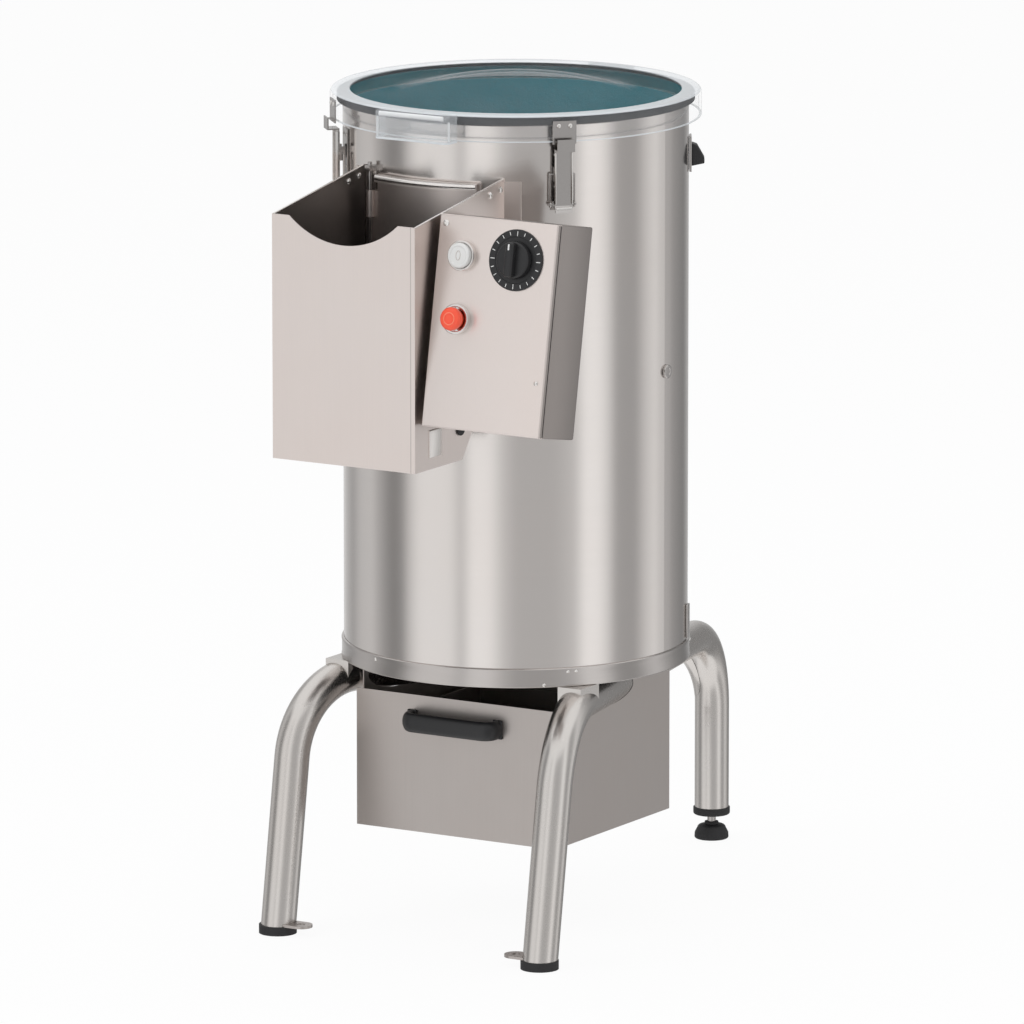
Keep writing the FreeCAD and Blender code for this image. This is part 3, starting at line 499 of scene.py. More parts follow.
def swept(bm, points, wide, high=None, closed=False, sides=14, upright=(0, 0, 1)):
    """A rounded bar along a path, its width across the path and its height along upright."""
    path = [Vector(point) for point in points]
    rings = []
    for index, point in enumerate(path):
        before = path[index - 1] if index or closed else point
        after = path[(index + 1) % len(path)] if index + 1 < len(path) or closed else point
        ahead = (after - before).normalized()
        across = ahead.cross(Vector(upright)).normalized()
        raised = across.cross(ahead)
        turn = Matrix((across, raised, ahead)).transposed().to_4x4()
        made = bmesh.ops.create_circle(bm, segments=sides, radius=1)["verts"]
        bmesh.ops.scale(bm, vec=(wide, high or wide, 1), verts=made)
        bmesh.ops.transform(bm, matrix=Matrix.Translation(point) @ turn, verts=made)
        rings.append(made)
    for first, second in zip(rings, rings[1:] + (rings[:1] if closed else [])):
        loops = {edge for ring in (first, second) for vert in ring for edge in vert.link_edges
                 if edge.other_vert(vert) in ring}
        bmesh.ops.bridge_loops(bm, edges=list(loops))
    if not closed:
        for made in (rings[0], rings[-1]):
            bmesh.ops.contextual_create(bm, geom=made)
    return bm


def head(bm, place, radius, height, recess=0.0, steps=24):
    """A domed screw or rivet head that stands on a surface along its frame's Z, its foot sunk in."""
    sunk = 0.0004
    outline = [(0, height - recess), (radius * 0.34, height - recess)]
    if recess:
        outline.append((radius * 0.42, height))
    outline += [(radius * math.cos(a), height * (0.25 + 0.75 * math.sin(a)))
                for a in (math.radians(step) for step in (62, 45, 28, 12, 0))]
    outline += [(radius, -sunk), (0, -sunk)]
    return turned(bm, outline, steps=steps, closed=False, place=place)


def out_of_drum(angle, height, out=0.0):
    """A frame on the drum's wall whose Z points straight out."""
    return round_drum(angle, height, out) @ Matrix.Rotation(math.pi / 2, 4, "Y")


def chute_top(y):
    """Height of the chute's sloping side at a distance in front of the drum."""
    share = (y - CHUTE_LOW.y) / (CHUTE_BACK - CHUTE_LOW.y)
    return CHUTE_FRONT_TOP + (CHUTE_HIGH.z - CHUTE_FRONT_TOP) * min(1.0, share)


class PEELER_OT_finishes(bpy.types.Operator):
    """Give every carried-over CAD node its finish"""

    bl_idname = "peeler.finishes"
    bl_label = "Finishes"

    def execute(self, context):
        make_finishes(context.scene.peeler_finishes)
        for finish, names in FINISH_NODES.items():
            for node in (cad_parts[name] for name in names.split()):
                for slot in node.material_slots:
                    slot.material = FINISHES[finish]
                if not node.material_slots:
                    node.data.materials.append(FINISHES[finish])
        return {"FINISHED"}


class PEELER_OT_lid(bpy.types.Operator):
    """Clear lid with a rounded shoulder, a sunk ring and a shallow dome, and a dark seal lip under its rim
    that paints the shadow there
    """

    bl_idname = "peeler.lid"
    bl_label = "Clear lid"

    def execute(self, context):
        sizes = context.scene.peeler_sizes
        wall, shoulder = sizes.lid_wall, sizes.rim_round
        ring_in, well = LID_R - RING_WIDTH, LID_TOP - WELL_DEPTH
        rise = DOME_TOP - well
        ball = (DOME_R ** 2 + rise ** 2) / (2 * rise)
        half, steps = math.asin(DOME_R / ball), 24
        dome = [(ball * math.sin(half * step / steps),
                 DOME_TOP - ball + ball * math.cos(half * step / steps)) for step in range(steps + 1)]
        dome_foot, well_foot, ring_edge, cut_edge = 0.0025, 0.003, 0.002, 0.001
        outline = dome[:-1]
        outline += arc(DOME_R + 0.003, well + dome_foot, dome_foot, 250, 270, 3)
        outline += arc(ring_in - well_foot, well + well_foot, well_foot, 270, 360, 5)
        outline += arc(ring_in + ring_edge, LID_TOP - ring_edge, ring_edge, 180, 90, 5)
        outline += arc(LID_R - shoulder, LID_TOP - shoulder, shoulder, 90, 0, 10)
        outline += arc(LID_R - cut_edge, LID_LOW + cut_edge, cut_edge, 0, -90, 4)
        outline += arc(LID_R - wall + cut_edge, LID_LOW + cut_edge, cut_edge, 270, 180, 4)
        outline += arc(LID_R - wall - ring_edge, LID_TOP - wall - ring_edge, ring_edge, 0, 90, 4)
        outline += [(ring_in + wall, LID_TOP - wall), (ring_in + wall, well - wall),
                    (DOME_R - 0.002, well - wall)]
        outline += [(max(0.0, radius - wall * radius / ball), height - wall)
                    for radius, height in reversed(dome[:-1])]
        bm = turned(bmesh.new(), outline, steps=160, closed=False)
        piece_from(bm, "clear_lid", "clear", "lid", ["lid"], crease=50)
        # A dark rubber lip under the lid's rim, seen through the clear skirt as a painted shadow band.
        middle, half_lip, drop = DRUM_R + 0.0055, 0.0012, 0.006
        seal = turned(bmesh.new(), arc(middle, DRUM_TOP + 0.0014, half_lip, 0, 180, 6)
                      + [(middle - half_lip - 0.0001, DRUM_TOP - drop),
                         (middle + half_lip, DRUM_TOP - drop)])
        piece_from(seal, "lid_rim_painted_shadow_lip", "seal", "lid")
        return {"FINISHED"}


class PEELER_OT_grip(bpy.types.Operator):
    """Moulded finger grip on the lid's front, open below, with pale bars along its edges that paint their
    highlights
    """

    bl_idname = "peeler.grip"
    bl_label = "Lid grip"

    def execute(self, context):
        wall = context.scene.peeler_sizes.lid_wall
        corner_low, corner_high = low("lid_grip"), high("lid_grip")
        corner = 0.006
        back = -LID_R + 0.004
        bm = block(bmesh.new(), corner_low, (corner_high.x, back, corner_high.z))
        open_faces = [face for face in bm.faces if face.normal.z < -0.5 or face.normal.y > 0.5]
        front_edges = [edge for edge in edges_where(bm, lambda spot: spot.y < corner_low.y + NEAR)
                       if any(vert.co.z > corner_high.z - NEAR for vert in edge.verts)]
        bmesh.ops.delete(bm, geom=open_faces, context="FACES_ONLY")
        rounded(bm, front_edges, corner, 5)
        bmesh.ops.solidify(bm, geom=bm.faces[:], thickness=wall)
        piece_from(bm, "clear_grip", "grip", "lid", ["lid_grip"])
        # Pale bars along the grip's top, bottom and side edges: painted highlights.
        highlight_bars = bmesh.new()
        top = corner_high.z - 0.0025
        across = corner_high.x - corner - 0.0005
        front = corner_low.y + 0.0015
        swept(highlight_bars, [(-across, front, top), (across, front, top)], 0.0014, 0.0028)
        swept(highlight_bars, [(-across, front, corner_low.z + 0.001), (across, front, corner_low.z + 0.001)],
              0.0012)
        for side in (-1, 1):
            edge = side * (corner_high.x - 0.0016)
            swept(highlight_bars, [(edge, corner_low.y + corner, corner_low.z + 0.002),
                         (edge, corner_low.y + corner, top - 0.004)], 0.0013, upright=(0, 1, 0))
        piece_from(highlight_bars, "grip_painted_highlight_bars", "edge", "lid")
        return {"FINISHED"}


class PEELER_OT_latches(bpy.types.Operator):
    """Rivets of the catches and latch bases, and the turned edges of the levers in a brighter steel that
    paints their highlights
    """

    bl_idname = "peeler.latches"
    bl_label = "Latch details"

    def execute(self, context):
        rivet = context.scene.peeler_sizes.rivet_radius
        for side, sign in (("left", -1), ("right", 1)):
            angle = sign * LATCH_ANGLE
            on_lid, on_drum = bmesh.new(), bmesh.new()
            plate_out = 0.0018
            for across in (-0.0065, 0.0065):
                aside = Matrix.Translation((0, across, 0))
                head(on_lid, out_of_drum(angle, LID_LOW + 0.0185, LID_R + plate_out - DRUM_R) @ aside,
                     rivet, 0.0016)
                for height in (LATCH_LOW + 0.026, LATCH_HIGH - 0.006):
                    head(on_drum, out_of_drum(angle, height, plate_out) @ aside, rivet * 0.8, 0.0012)
            piece_from(on_lid, "catch_rivets_" + side, "rivet", "lid")
            piece_from(on_drum, "latch_rivets_" + side, "rivet", "machine")
            # The levers' turned edges in the bright rivet steel: painted highlights on the edges.
            edges = bmesh.new()
            frame_here = round_drum(angle, 0)
            for across in (-0.0094, 0.0094):
                block(edges, (0.0095, across - 0.0006, LATCH_LOW + 0.008),
                      (0.0142, across + 0.0006, LATCH_HIGH - 0.002), 0.0005, 2, frame_here)
            swept(edges, [frame_here @ Vector((0.0132, across, LATCH_LOW + 0.003))
                          for across in (-0.0088, 0.0088)], 0.0017)
            piece_from(edges, "lever_edges_" + side, "rivet", side + "_latch")
        return {"FINISHED"}


class PEELER_OT_drum_band(bpy.types.Operator):
    """Rounded bottom flange with its screws, the tab above it, the drum's weld seam and a dark ring of
    painted shadow under the flange
    """

    bl_idname = "peeler.drum_band"
    bl_label = "Drum flange and seam"

    def execute(self, context):
        band_low, band_high = low("base_flange").z, high("base_flange").z
        out = high("base_flange").x
        inner, low_roll, high_roll = DRUM_R + 0.0001, 0.0012, 0.0018
        waist = out - low_roll / 2
        bm = turned(bmesh.new(), [(inner, band_low)]
                    + arc(out - low_roll, band_low + low_roll, low_roll, -90, 0, 4)
                    + [(waist, band_low + 0.004), (waist, band_high - 0.006)]
                    + arc(out - high_roll, band_high - 0.0022, high_roll, 0, 90, 5)
                    + [(inner, band_high)], steps=192)
        piece_from(bm, "flange_band", "flange", "machine", ["base_flange"])
        screws = bmesh.new()
        upper = band_high - 0.005
        spots = [(40.4, band_low + 0.003)] + [(angle, upper) for angle in (48.4, 51.2, -22, 120, 180, -120)]
        for angle, height in spots:
            head(screws, out_of_drum(math.radians(angle), height, out - DRUM_R - 0.0008), 0.0022,
                 0.0016, 0.0005)
        piece_from(screws, "flange_screws", "rivet", "machine")
        tab = block(bmesh.new(), (0.0, -0.007, band_high + 0.002), (0.0032, 0.007, band_high + 0.040),
                    0.001, 3, round_drum(TAB_ANGLE, 0))
        piece_from(tab, "drum_tab", "bright", "machine")
        seam = bmesh.new()
        swept(seam, [round_drum(math.pi, 0, -0.0004) @ Vector((0, 0, height))
                     for height in (band_high, DRUM_TOP - 0.01)], 0.0022, 0.0008, upright=(0, 1, 0))
        piece_from(seam, "drum_weld_seam", "weld", "machine")
        # A near-black ring under the flange: painted shadow where the drum meets its base.
        rim_in, rim_out = DRUM_R - 0.0145, DRUM_R - 0.001
        rim_low, rim_high = band_low - 0.0005, band_low + 0.001
        base = turned(bmesh.new(), [(rim_in, rim_low), (rim_in, rim_high), (rim_out, rim_high),
                                    (rim_out, rim_low)])
        piece_from(base, "base_painted_shadow_ring", "shadow", "machine")
        return {"FINISHED"}


class PEELER_OT_chute(bpy.types.Operator):
    """Rolled edges, bolts, bracket and grommet of the chute, and the roll on the door"""

    bl_idname = "peeler.chute"
    bl_label = "Chute and door edges"

    def execute(self, context):
        sizes = context.scene.peeler_sizes
        hem, bolt = sizes.hem_radius, sizes.bolt_radius
        hems = bmesh.new()
        for side in (CHUTE_LOW.x + 0.00085, CHUTE_HIGH.x - 0.00085):
            swept(hems, [(side, CHUTE_LOW.y + hem, chute_top(CHUTE_LOW.y) - hem * 0.4),
                         (side, CHUTE_BACK, chute_top(CHUTE_BACK) - hem * 0.4)], hem * 0.8)
        # The hems take the lighter steel, a painted highlight along the chute's top edges.
        piece_from(hems, "chute_side_hems", "lighter_steel_painted_highlight", "machine")
        bolts = bmesh.new()
        for side, wall in ((-1, CHUTE_LOW.x), (1, CHUTE_HIGH.x)):
            for y in BOLTS_Y:
                height = chute_top(y) - BOLT_DROP
                outwards = (Matrix.Translation((wall, y, height))
                            @ Matrix.Rotation(side * math.pi / 2, 4, "Y"))
                inwards = (Matrix.Translation((wall - side * SHEET, y, height))
                           @ Matrix.Rotation(-side * math.pi / 2, 4, "Y"))
                head(bolts, outwards, bolt, 0.0032, 0.0008, steps=6)
                head(bolts, inwards, bolt * 0.9, 0.0026)
        piece_from(bolts, "chute_bolts", "rivet", "machine", crease=25)
        bracket = block(bmesh.new(), (CHUTE_HIGH.x - 0.0004, *BRACKET_LOW),
                        (CHUTE_HIGH.x + 0.0014, *BRACKET_HIGH), 0.0006, 3)
        piece_from(bracket, "chute_side_bracket", "lighter_steel_painted_highlight", "machine")
        grommet = turned(bmesh.new(), arc(0.0052, 0.0012, 0.0018, -90, 90, 8)
                         + [(0.0, 0.0012), (0.0, -0.0006)], steps=32,
                         place=Matrix.Translation((CHUTE_HIGH.x, *GROMMET_SPOT))
                         @ Matrix.Rotation(math.pi / 2, 4, "Y"))
        piece_from(grommet, "cable_grommet", "rubber", "machine")
        radius, first, turn, steps = DRUM_R + 0.0098, -18.2, 36.8, 24
        roll = swept(bmesh.new(), [
            (radius * math.sin(a), -radius * math.cos(a), DOOR_TOP - 0.0032)
            for a in (math.radians(first + turn * step / steps) for step in range(steps + 1))], 0.0038)
        piece_from(roll, "door_rolled_lip", "lighter_steel_painted_highlight", "door")
        return {"FINISHED"}


class PEELER_OT_control_box(bpy.types.Operator):
    """Folded control box with its cover plate and screws"""

    bl_idname = "peeler.control_box"
    bl_label = "Control box"

    def execute(self, context):
        fold = context.scene.peeler_sizes.sheet_fold
        wide, deep, tall = BOX_SIZE
        bm = block(bmesh.new(), (0, SHEET, 0), BOX_SIZE)
        rounded(bm, edges_where(bm, lambda spot: spot.y > deep - NEAR), 0.006, 5)
        rounded(bm, [edge for edge in bm.edges
                     if len(edge.link_faces) == 2 and edge.calc_face_angle() > math.radians(60)],
                0.0012, 3)
        bmesh.ops.transform(bm, matrix=BOX_FACE, verts=bm.verts)
        # The body is in the shaded copy of the sheet steel: painted shade on its sides.
        piece_from(bm, "control_box_body", "box_painted_shade", "machine", ["control_box"])
        plate = block(bmesh.new(), (0, 0, 0), (wide, 0.006, tall))
        rounded(plate, edges_where(plate, lambda spot: spot.y < NEAR and spot.x > wide - NEAR),
                fold * 2, 6)
        others = [edge for side in (lambda spot: spot.z > tall - NEAR, lambda spot: spot.z < NEAR,
                                    lambda spot: spot.x < NEAR)
                  for edge in edges_where(plate, lambda spot: spot.y < NEAR and side(spot))]
        rounded(plate, others, fold * 0.7, 4)
        bmesh.ops.transform(plate, matrix=BOX_FACE, verts=plate.verts)
        # The cover is in the lighter copy of the sheet steel: painted light on its leaning face.
        piece_from(plate, "control_box_cover", "box_painted_light", "machine")
        screws = bmesh.new()
        for across, down, radius in ((0.0085, 0.010, 0.0040), (0.141, 0.175, 0.0028)):
            head(screws, on_box(across, tall - down), radius, 0.0018, 0.0006)
        piece_from(screws, "cover_screws", "rivet", "machine")
        return {"FINISHED"}


class PEELER_OT_controls(bpy.types.Operator):
    """Timer dial with its marks and knob, and the two buttons in their bezels"""

    bl_idname = "peeler.controls"
    bl_label = "Timer and buttons"

    def execute(self, context):
        self.timer(context.scene.peeler_sizes)
        self.buttons()
        return {"FINISHED"}

    def timer(self, sizes):
        centre = on_box(*DIAL_SPOT)
        sunk, rim = DIAL_THICK - 0.0004, 0.0010
        plate = turned(bmesh.new(), [(0, 0.0001), (0, sunk), (DIAL_R - 0.0085, sunk),
                                     (DIAL_R - 0.0080, DIAL_THICK)]
                       + arc(DIAL_R - rim, DIAL_THICK - rim, rim, 90, 0, 5)
                       + [(DIAL_R, 0.0001)], steps=96, closed=False, place=centre)
        piece_from(plate, "dial_plate", "black", "machine", ["timer_dial"])
        marks = bmesh.new()
        for number in range(sizes.dial_marks):
            turn = Matrix.Rotation(math.tau * number / sizes.dial_marks, 4, "Z")
            length = sizes.mark_length * (1.25 if number % 5 == 0 else 0.9)
            outer, half = DIAL_R - 0.0022, 0.00042
            block(marks, (-half, outer - length, DIAL_THICK - 0.0002),
                  (half, outer, DIAL_THICK + 0.00012), place=centre @ turn)
        piece_from(marks, "dial_marks", "mark", "machine")
        rise = DIAL_THICK + 0.0004
        knob = turned(bmesh.new(), [(0, rise), (KNOB_R - 0.0006, rise), (KNOB_R, rise + 0.0012)]
                      + arc(KNOB_R - 0.0030, rise + 0.0050, 0.0024, 0, 90, 5)
                      + [(0, rise + 0.0078)], steps=64, closed=False, place=centre)
        block(knob, (-0.0052, -0.0192, rise + 0.002), (0.0052, 0.0192, KNOB_TOP),
              sizes.soft_edge * 1.4, 5, centre)
        piece_from(knob, "timer_knob_grip", "black", "timer", ["timer_knob"])
        pointer = block(bmesh.new(), (-0.0010, 0.0105, KNOB_TOP - 0.0004),
                        (0.0010, 0.0170, KNOB_TOP + 0.0002), 0.0002, 2, centre)
        piece_from(pointer, "knob_pointer", "mark", "timer")

    def buttons(self):
        foot, rim = 0.0045, 0.0022
        top = BEZEL_OUT + START_OUT
        start = ([(0, foot), (START_R, foot), (START_R, top - rim)]
                 + arc(START_R - rim, top - rim, rim, 0, 90, 5)
                 + [(START_R - 0.0034, top), (START_R - 0.0042, top - 0.0007), (0, top - 0.0007)])
        self.button("start", START_SPOT, START_R, start, "white")
        self.ring_mark("start_mark", START_SPOT, top - 0.0006, (0.0026, 0.0052), 28, 0.00045,
                       "bezel", "start", "white_plastic")
        top, shoulder = BEZEL_OUT + STOP_OUT, 0.0042
        stop = ([(0, foot), (STOP_R * 0.80, foot), (STOP_R * 0.80, BEZEL_OUT + 0.0020),
                 (STOP_R * 0.97, BEZEL_OUT + 0.0036)]
                + arc(STOP_R - shoulder, top - shoulder - 0.0002, shoulder, -10, 80, 8)
                + [(STOP_R * 0.42, top - 0.0001), (STOP_R * 0.36, top - 0.0007), (0, top - 0.0005)])
        self.button("stop", STOP_SPOT, STOP_R, stop, "red")
        self.ring_mark("stop_mark", STOP_SPOT, top - 0.0003, (0.0066, 0.0066), 36, 0.0006,
                       "red_mark", "stop", "red_plastic")

    def button(self, name, spot, radius, cap, finish):
        """A polished bezel and the cap that moves in it."""
        centre = on_box(*spot)
        inner, lip, rim, floor = radius + 0.0005, 0.0008, 0.0014, 0.0010
        bezel = turned(bmesh.new(), [(inner, floor), (inner, BEZEL_OUT - 0.0010)]
                       + arc(inner + lip, BEZEL_OUT - lip, lip, 180, 90, 4)
                       + arc(BEZEL_R - rim, BEZEL_OUT - rim, rim, 90, 0, 5)
                       + [(BEZEL_R, 0.0001), (0.004, 0.0001), (0.004, floor)], steps=72, place=centre)
        piece_from(bezel, name + "_bezel_ring", "bezel", "machine", [name + "_bezel"])
        bm = turned(bmesh.new(), cap, steps=72, closed=False, place=centre)
        piece_from(bm, name + "_cap", finish, name, [name + "_button"])

    def ring_mark(self, name, spot, height, radii, steps, thick, finish, body, slot):
        """A plain oval ring on a button's cap."""
        centre = on_box(*spot)
        turns = [math.tau * step / steps for step in range(steps)]
        mark = swept(bmesh.new(), [centre @ Vector((radii[0] * math.cos(a), radii[1] * math.sin(a), height))
                                   for a in turns], thick, closed=True, sides=8,
                     upright=centre.to_3x3() @ Vector((0, 0, 1)))
        piece_from(mark, name, finish, body)


class PEELER_OT_lid_switch(bpy.types.Operator):
    """Lid switch: a steel plate with a black wedge, and the round plug below it"""

    bl_idname = "peeler.lid_switch"
    bl_label = "Lid switch and plug"

    def execute(self, context):
        soft = context.scene.peeler_sizes.soft_edge
        here = round_drum(SWITCH_ANGLE, 0)
        z_low, z_high = low("lid_switch").z, high("lid_switch").z
        plate = block(bmesh.new(), (0.0004, -0.013, z_low), (0.0030, 0.013, z_high), 0.0009, 3, here)
        piece_from(plate, "switch_plate", "bright", "machine", ["lid_switch"])
        nose = bmesh.new()
        corners = [(0.0028, z_low + 0.006), (0.0175, z_low + 0.009), (0.0175, z_low + 0.015),
                   (0.009, z_low + 0.030), (0.0028, z_low + 0.032)]
        half = 0.0078
        side = nose.faces.new([nose.verts.new((out, -half, height)) for out, height in corners])
        far = bmesh.ops.extrude_face_region(nose, geom=[side])["geom"]
        bmesh.ops.translate(nose, vec=(0, half * 2, 0),
                            verts=[part for part in far if isinstance(part, bmesh.types.BMVert)])
        rounded(nose, nose.edges[:], soft * 0.5, 3)
        bmesh.ops.transform(nose, matrix=here, verts=nose.verts)
        piece_from(nose, "switch_wedge", "black", "machine")
        spot = (low("side_plug") + high("side_plug")) / 2
        angle = math.atan2(spot.x, -spot.y)
        plug = turned(bmesh.new(), [(0, 0.0030), (0.0035, 0.0030), (0.0042, 0.0036)]
                      + arc(0.0062, 0.0020, 0.0016, 100, 0, 6) + [(0.0078, 0.0002), (0, 0.0002)],
                      steps=48, closed=False, place=out_of_drum(angle, spot.z))
        piece_from(plug, "side_plug_cap", "bright", "machine", ["side_plug"])
        return {"FINISHED"}


class PEELER_OT_drawer(bpy.types.Operator):
    """Moulded drawer handle, and bars of lighter steel along the drawer front's cut edges that paint their
    highlights
    """

    bl_idname = "peeler.drawer"
    bl_label = "Drawer handle"

    def execute(self, context):
        half = (HANDLE_HIGH.x - HANDLE_LOW.x) / 2
        tall = (HANDLE_HIGH.z - HANDLE_LOW.z) / 2
        middle = (HANDLE_HIGH.z + HANDLE_LOW.z) / 2
        thick, bend = HANDLE_HALF_DEPTH, HANDLE_BEND
        front, wall = HANDLE_LOW.y + thick, HANDLE_HIGH.y
        reach = half - thick
        path = [(-reach, wall, middle), (-reach, front + bend, middle)]
        path += [(-reach + bend - bend * math.cos(a), front + bend - bend * math.sin(a), middle)
                 for a in (math.radians(15 * step) for step in range(1, 6))]
        path += [(-reach + bend, front, middle)]
        path += [(-x, y, z) for x, y, z in reversed(path)]
        bm = swept(bmesh.new(), path, thick, tall, sides=28)
        piece_from(bm, "drawer_bar_handle", "black", "drawer",
                   ["drawer_handle"], crease=60)
        feet = bmesh.new()
        for side in (-1, 1):
            block(feet, (side * reach - thick, wall - 0.0028, middle - tall),
                  (side * reach + thick, wall, middle + tall), 0.0012, 3)
        piece_from(feet, "handle_feet", "black", "drawer")
        plate_low, plate_high = low("drawer_front"), high("drawer_front")
        # Thin bars of lighter steel along the drawer front's edges: painted highlights.
        edge = bmesh.new()
        inset = 0.0007
        left, right = plate_low.x + inset, plate_high.x - inset
        bottom, top = plate_low.z + inset, plate_high.z - inset
        corners = [(left, bottom), (right, bottom), (right, top), (left, top)]
        for (x, z), (next_x, next_z) in zip(corners, corners[1:] + corners[:1]):
            upright = (0, 0, 1) if z == next_z else (1, 0, 0)
            swept(edge, [(x, plate_low.y + inset, z), (next_x, plate_low.y + inset, next_z)], inset,
                  sides=10, upright=upright)
        piece_from(edge, "drawer_front_painted_highlights", "lighter_steel_painted_highlight", "drawer")
        return {"FINISHED"}


class PEELER_OT_feet(bpy.types.Operator):
    """Moulded pad and cap of the rear foot, and the weld beads of the stand"""

    bl_idname = "peeler.feet"
    bl_label = "Feet and welds"

    def execute(self, context):
        sizes = context.scene.peeler_sizes
        soft, bead = sizes.soft_edge, sizes.weld_bead
        pad_low, pad_high = low("rear_foot_pad"), high("rear_foot_pad")
        radius = (pad_high.x - pad_low.x) / 2
        centre = Matrix.Translation(((pad_high.x + pad_low.x) / 2, (pad_high.y + pad_low.y) / 2, 0))
        top = pad_high.z
        pad = turned(bmesh.new(), [(0, 0), (radius - soft, 0)]
                     + arc(radius - soft, soft, soft, -90, 0, 5)
                     + [(radius - 0.0003, top * 0.36), (radius - 0.0024, top * 0.56)]
                     + arc(radius * 0.62, top * 0.60, top * 0.22, 10, 80, 5)
                     + [(radius * 0.42, top * 0.86), (radius * 0.40, top), (0, top)], steps=64,
                     closed=False, place=centre)
        piece_from(pad, "rear_foot_rubber", "rubber", "machine", ["rear_foot_pad"],
                   crease=50)
        cap_low, cap_high = low("rear_tube_cap"), high("rear_tube_cap")
        cap_r = (cap_high.x - cap_low.x) / 2
        hole, rim = 0.006, 0.001
        cap = turned(bmesh.new(), [(hole, cap_low.z), (cap_r - soft, cap_low.z)]
                     + arc(cap_r - soft, cap_low.z + soft, soft, -90, 0, 4)
                     + arc(cap_r - rim, cap_high.z - rim, rim, 0, 90, 3)
                     + [(TUBE_R - 0.003, cap_high.z), (hole, cap_high.z)], steps=64, place=centre)
        piece_from(cap, "rear_cap_moulded", "rubber", "machine", ["rear_tube_cap"])
        welds = bmesh.new()
        for near, inward, node in ((low("anchor_plate_left").x, 0.001, "anchor_plate_left"),
                                   (high("anchor_plate_right").x, -0.001, "anchor_plate_right")):
            swept(welds, [(near + inward, low(node).y + 0.004, high(node).z),
                          (near + inward, high(node).y - 0.004, high(node).z)], bead)
        piece_from(welds, "anchor_welds", "weld", "machine")
        return {"FINISHED"}


# Brightness of the studio's wall by direction, in degrees from the front towards the right
WALL = [(-180, 0.24), (-160, 0.55), (-139, 0.80), (-122, 0.55), (-108, 0.42), (-95, 0.62),
        (-80, 0.68), (-68, 0.42), (-58, 0.27), (-50, 0.33), (-43, 0.72), (-35, 0.95), (-12, 0.93),
        (-5, 0.62), (2, 1.05), (14, 1.02), (23, 0.70), (31, 0.55), (56, 0.55), (70, 0.66),
        (78, 1.08), (88, 1.04), (95, 0.80), (101, 0.44), (117, 0.42), (127, 0.72), (137, 0.88),
        (147, 0.60), (160, 0.36), (180, 0.24)]


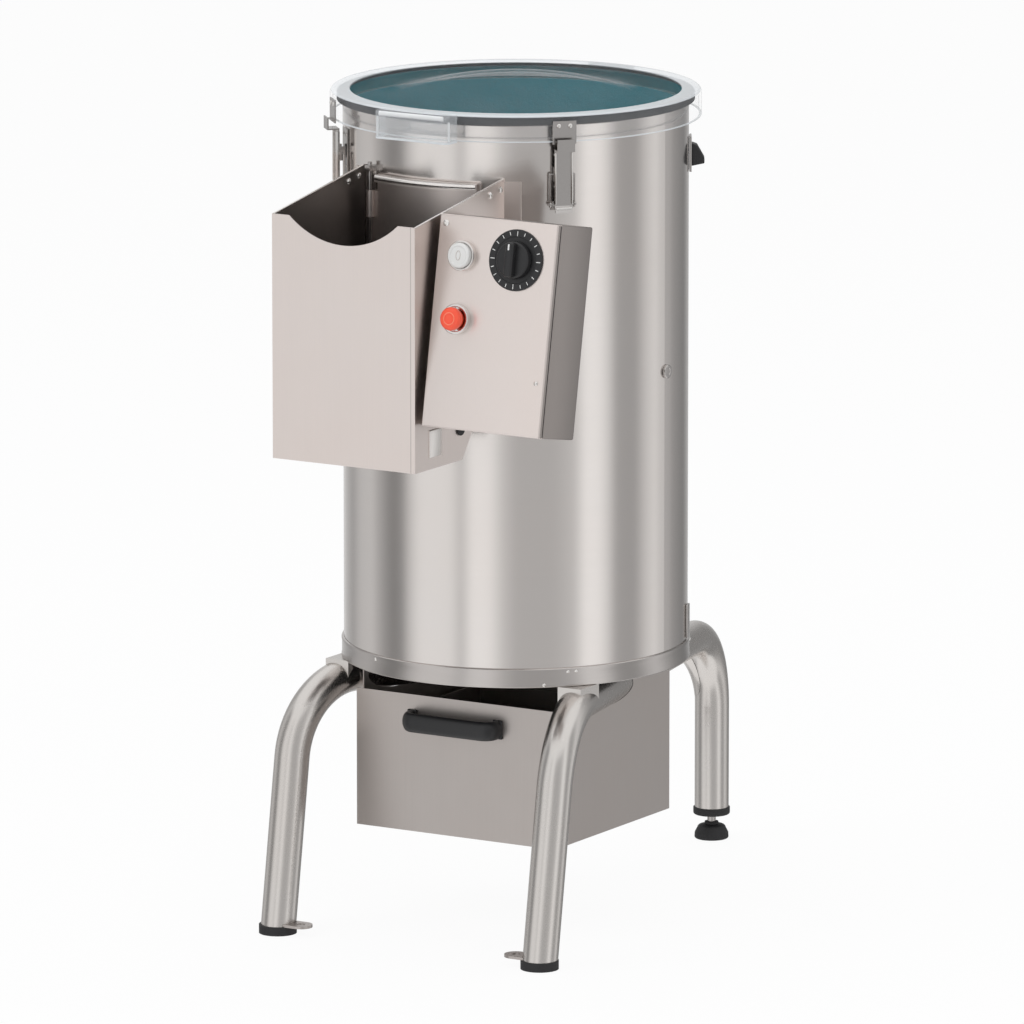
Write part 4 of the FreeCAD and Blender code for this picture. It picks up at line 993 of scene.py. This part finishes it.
class PEELER_OT_stage(bpy.types.Operator):
    """Floor, studio wall, lamps, world and camera"""

    bl_idname = "peeler.stage"
    bl_label = "Stage"

    def execute(self, context):
        scene = context.scene
        scene.view_settings.view_transform = "Standard"
        self.floor(scene)
        self.wall(scene)
        self.world(scene)
        for name, spot, power, size in (("key", (-2.6, -3.6, 3.8), 60, 3.0),
                                        ("fill", (3.6, -2.6, 2.6), 30, 3.0),
                                        ("top", (0.0, 0.6, 4.2), 40, 3.5)):
            lamp = bpy.data.lights.new(name, "AREA")
            lamp.energy = power
            lamp.size = size
            holder = bpy.data.objects.new(name, lamp)
            holder.location = spot
            holder.rotation_euler = (Vector((0, 0, 0.5)) - Vector(spot)).to_track_quat(
                "-Z", "Y").to_euler()
            holder.visible_glossy = False
            holder.visible_transmission = False
            scene.collection.objects.link(holder)
        self.camera(scene)
        return {"FINISHED"}

    def floor(self, scene):
        bm = bmesh.new()
        bmesh.ops.create_grid(bm, x_segments=1, y_segments=1, size=30)
        mesh = bpy.data.meshes.new("floor")
        bm.to_mesh(mesh)
        bm.free()
        floor = bpy.data.objects.new("floor", mesh)
        scene.collection.objects.link(floor)
        finish = Finish("floor_paper", Roughness=0.9)
        paper = finish.noise(300.0)
        finish.base(finish.mix(paper, (0.90, 0.90, 0.90, 1), (0.93, 0.93, 0.93, 1)))
        glow = finish.add("ShaderNodeEmission", {}, {"Color": (1, 1, 1, 1), "Strength": 1.0})
        ray = finish.add("ShaderNodeLightPath", {}, {}, "Is Camera Ray")
        both = finish.add("ShaderNodeMixShader", {}, {0: ray * 0.93,
                                                      1: Wire(finish, finish.shader.outputs[0]),
                                                      2: glow})
        finish.feed(finish.output.inputs["Surface"], both)
        mesh.materials.append(finish.material)
        floor.visible_glossy = False

    def wall(self, scene):
        bm = turned(bmesh.new(), [(6.0, -6.0), (6.0, 5.0)], steps=96, closed=False)
        mesh = bpy.data.meshes.new("studio_wall")
        bm.to_mesh(mesh)
        bm.free()
        wall = bpy.data.objects.new("studio_wall", mesh)
        scene.collection.objects.link(wall)
        finish = Finish("studio_wall_light")
        across, along, up = finish.parts()
        turn = finish.add("ShaderNodeMath", {"operation": "ARCTAN2"}, {0: across, 1: 0 - along})
        place = turn * (0.5 / math.pi) + 0.5
        ramp = finish.add("ShaderNodeValToRGB",
                          {"stops": [((angle + 180) / 360, tone / 1.1) for angle, tone in WALL]},
                          {0: place})
        glow = finish.add("ShaderNodeEmission", {}, {"Color": ramp, "Strength": 1.1})
        finish.feed(finish.output.inputs["Surface"], glow)
        mesh.materials.append(finish.material)
        for flag in ("camera", "diffuse", "transmission", "volume_scatter", "shadow"):
            setattr(wall, "visible_" + flag, False)

    def world(self, scene):
        world = bpy.data.worlds.new("studio")
        scene.world = world
        world.use_nodes = True
        nodes, links = world.node_tree.nodes, world.node_tree.links
        back = nodes["Background"]
        back.inputs["Color"].default_value = (0.62, 0.62, 0.63, 1)
        white = nodes.new("ShaderNodeBackground")
        white.inputs["Color"].default_value = (1, 1, 1, 1)
        path = nodes.new("ShaderNodeLightPath")
        seen = path.outputs["Is Camera Ray"]
        for ray in ("Is Transmission Ray", "Is Glossy Ray"):
            either = nodes.new("ShaderNodeMath")
            either.operation = "MAXIMUM"
            links.new(seen, either.inputs[0])
            links.new(path.outputs[ray], either.inputs[1])
            seen = either.outputs[0]
        mix = nodes.new("ShaderNodeMixShader")
        links.new(seen, mix.inputs[0])
        links.new(back.outputs[0], mix.inputs[1])
        links.new(white.outputs[0], mix.inputs[2])
        links.new(mix.outputs[0], nodes["World Output"].inputs["Surface"])

    def camera(self, scene):
        lens = bpy.data.cameras.new("photo_camera")
        lens.sensor_width = 36
        lens.lens = 419.7
        lens.clip_end = 200
        camera = bpy.data.objects.new("photo_camera", lens)
        camera.location = (6.863, -11.362, 3.054)
        camera.rotation_euler = (math.pi / 2 - 0.1928, 0, 0.5437)
        scene.collection.objects.link(camera)
        scene.camera = camera


PIECES = [PEELER_OT_finishes, PEELER_OT_lid, PEELER_OT_grip, PEELER_OT_latches, PEELER_OT_drum_band,
          PEELER_OT_chute, PEELER_OT_control_box, PEELER_OT_controls, PEELER_OT_lid_switch,
          PEELER_OT_drawer, PEELER_OT_feet, PEELER_OT_stage]


class PEELER_PT_panel(bpy.types.Panel):
    """The peeler's pieces in the order they are made"""

    bl_idname = "PEELER_PT_panel"
    bl_label = "Potato peeler"
    bl_space_type = "VIEW_3D"
    bl_region_type = "UI"
    bl_category = "Peeler"

    def draw(self, context):
        for group in (context.scene.peeler_sizes, context.scene.peeler_finishes):
            for name in group.__annotations__:
                self.layout.prop(group, name)
        for piece in PIECES:
            self.layout.operator(piece.bl_idname)


CLASSES = [PeelerSizes, PeelerFinishes, *PIECES, PEELER_PT_panel]


def register():
    for part in CLASSES:
        bpy.utils.register_class(part)
    bpy.types.Scene.peeler_sizes = PointerProperty(type=PeelerSizes)
    bpy.types.Scene.peeler_finishes = PointerProperty(type=PeelerFinishes)


def unregister():
    del bpy.types.Scene.peeler_finishes
    del bpy.types.Scene.peeler_sizes
    for part in reversed(CLASSES):
        bpy.utils.unregister_class(part)


def main():
    register()
    for make in (bpy.ops.peeler.finishes, bpy.ops.peeler.lid, bpy.ops.peeler.grip,
                 bpy.ops.peeler.latches, bpy.ops.peeler.drum_band, bpy.ops.peeler.chute,
                 bpy.ops.peeler.control_box, bpy.ops.peeler.controls, bpy.ops.peeler.lid_switch,
                 bpy.ops.peeler.drawer, bpy.ops.peeler.feet, bpy.ops.peeler.stage):
        make()


if __name__ == "__main__":
    main()
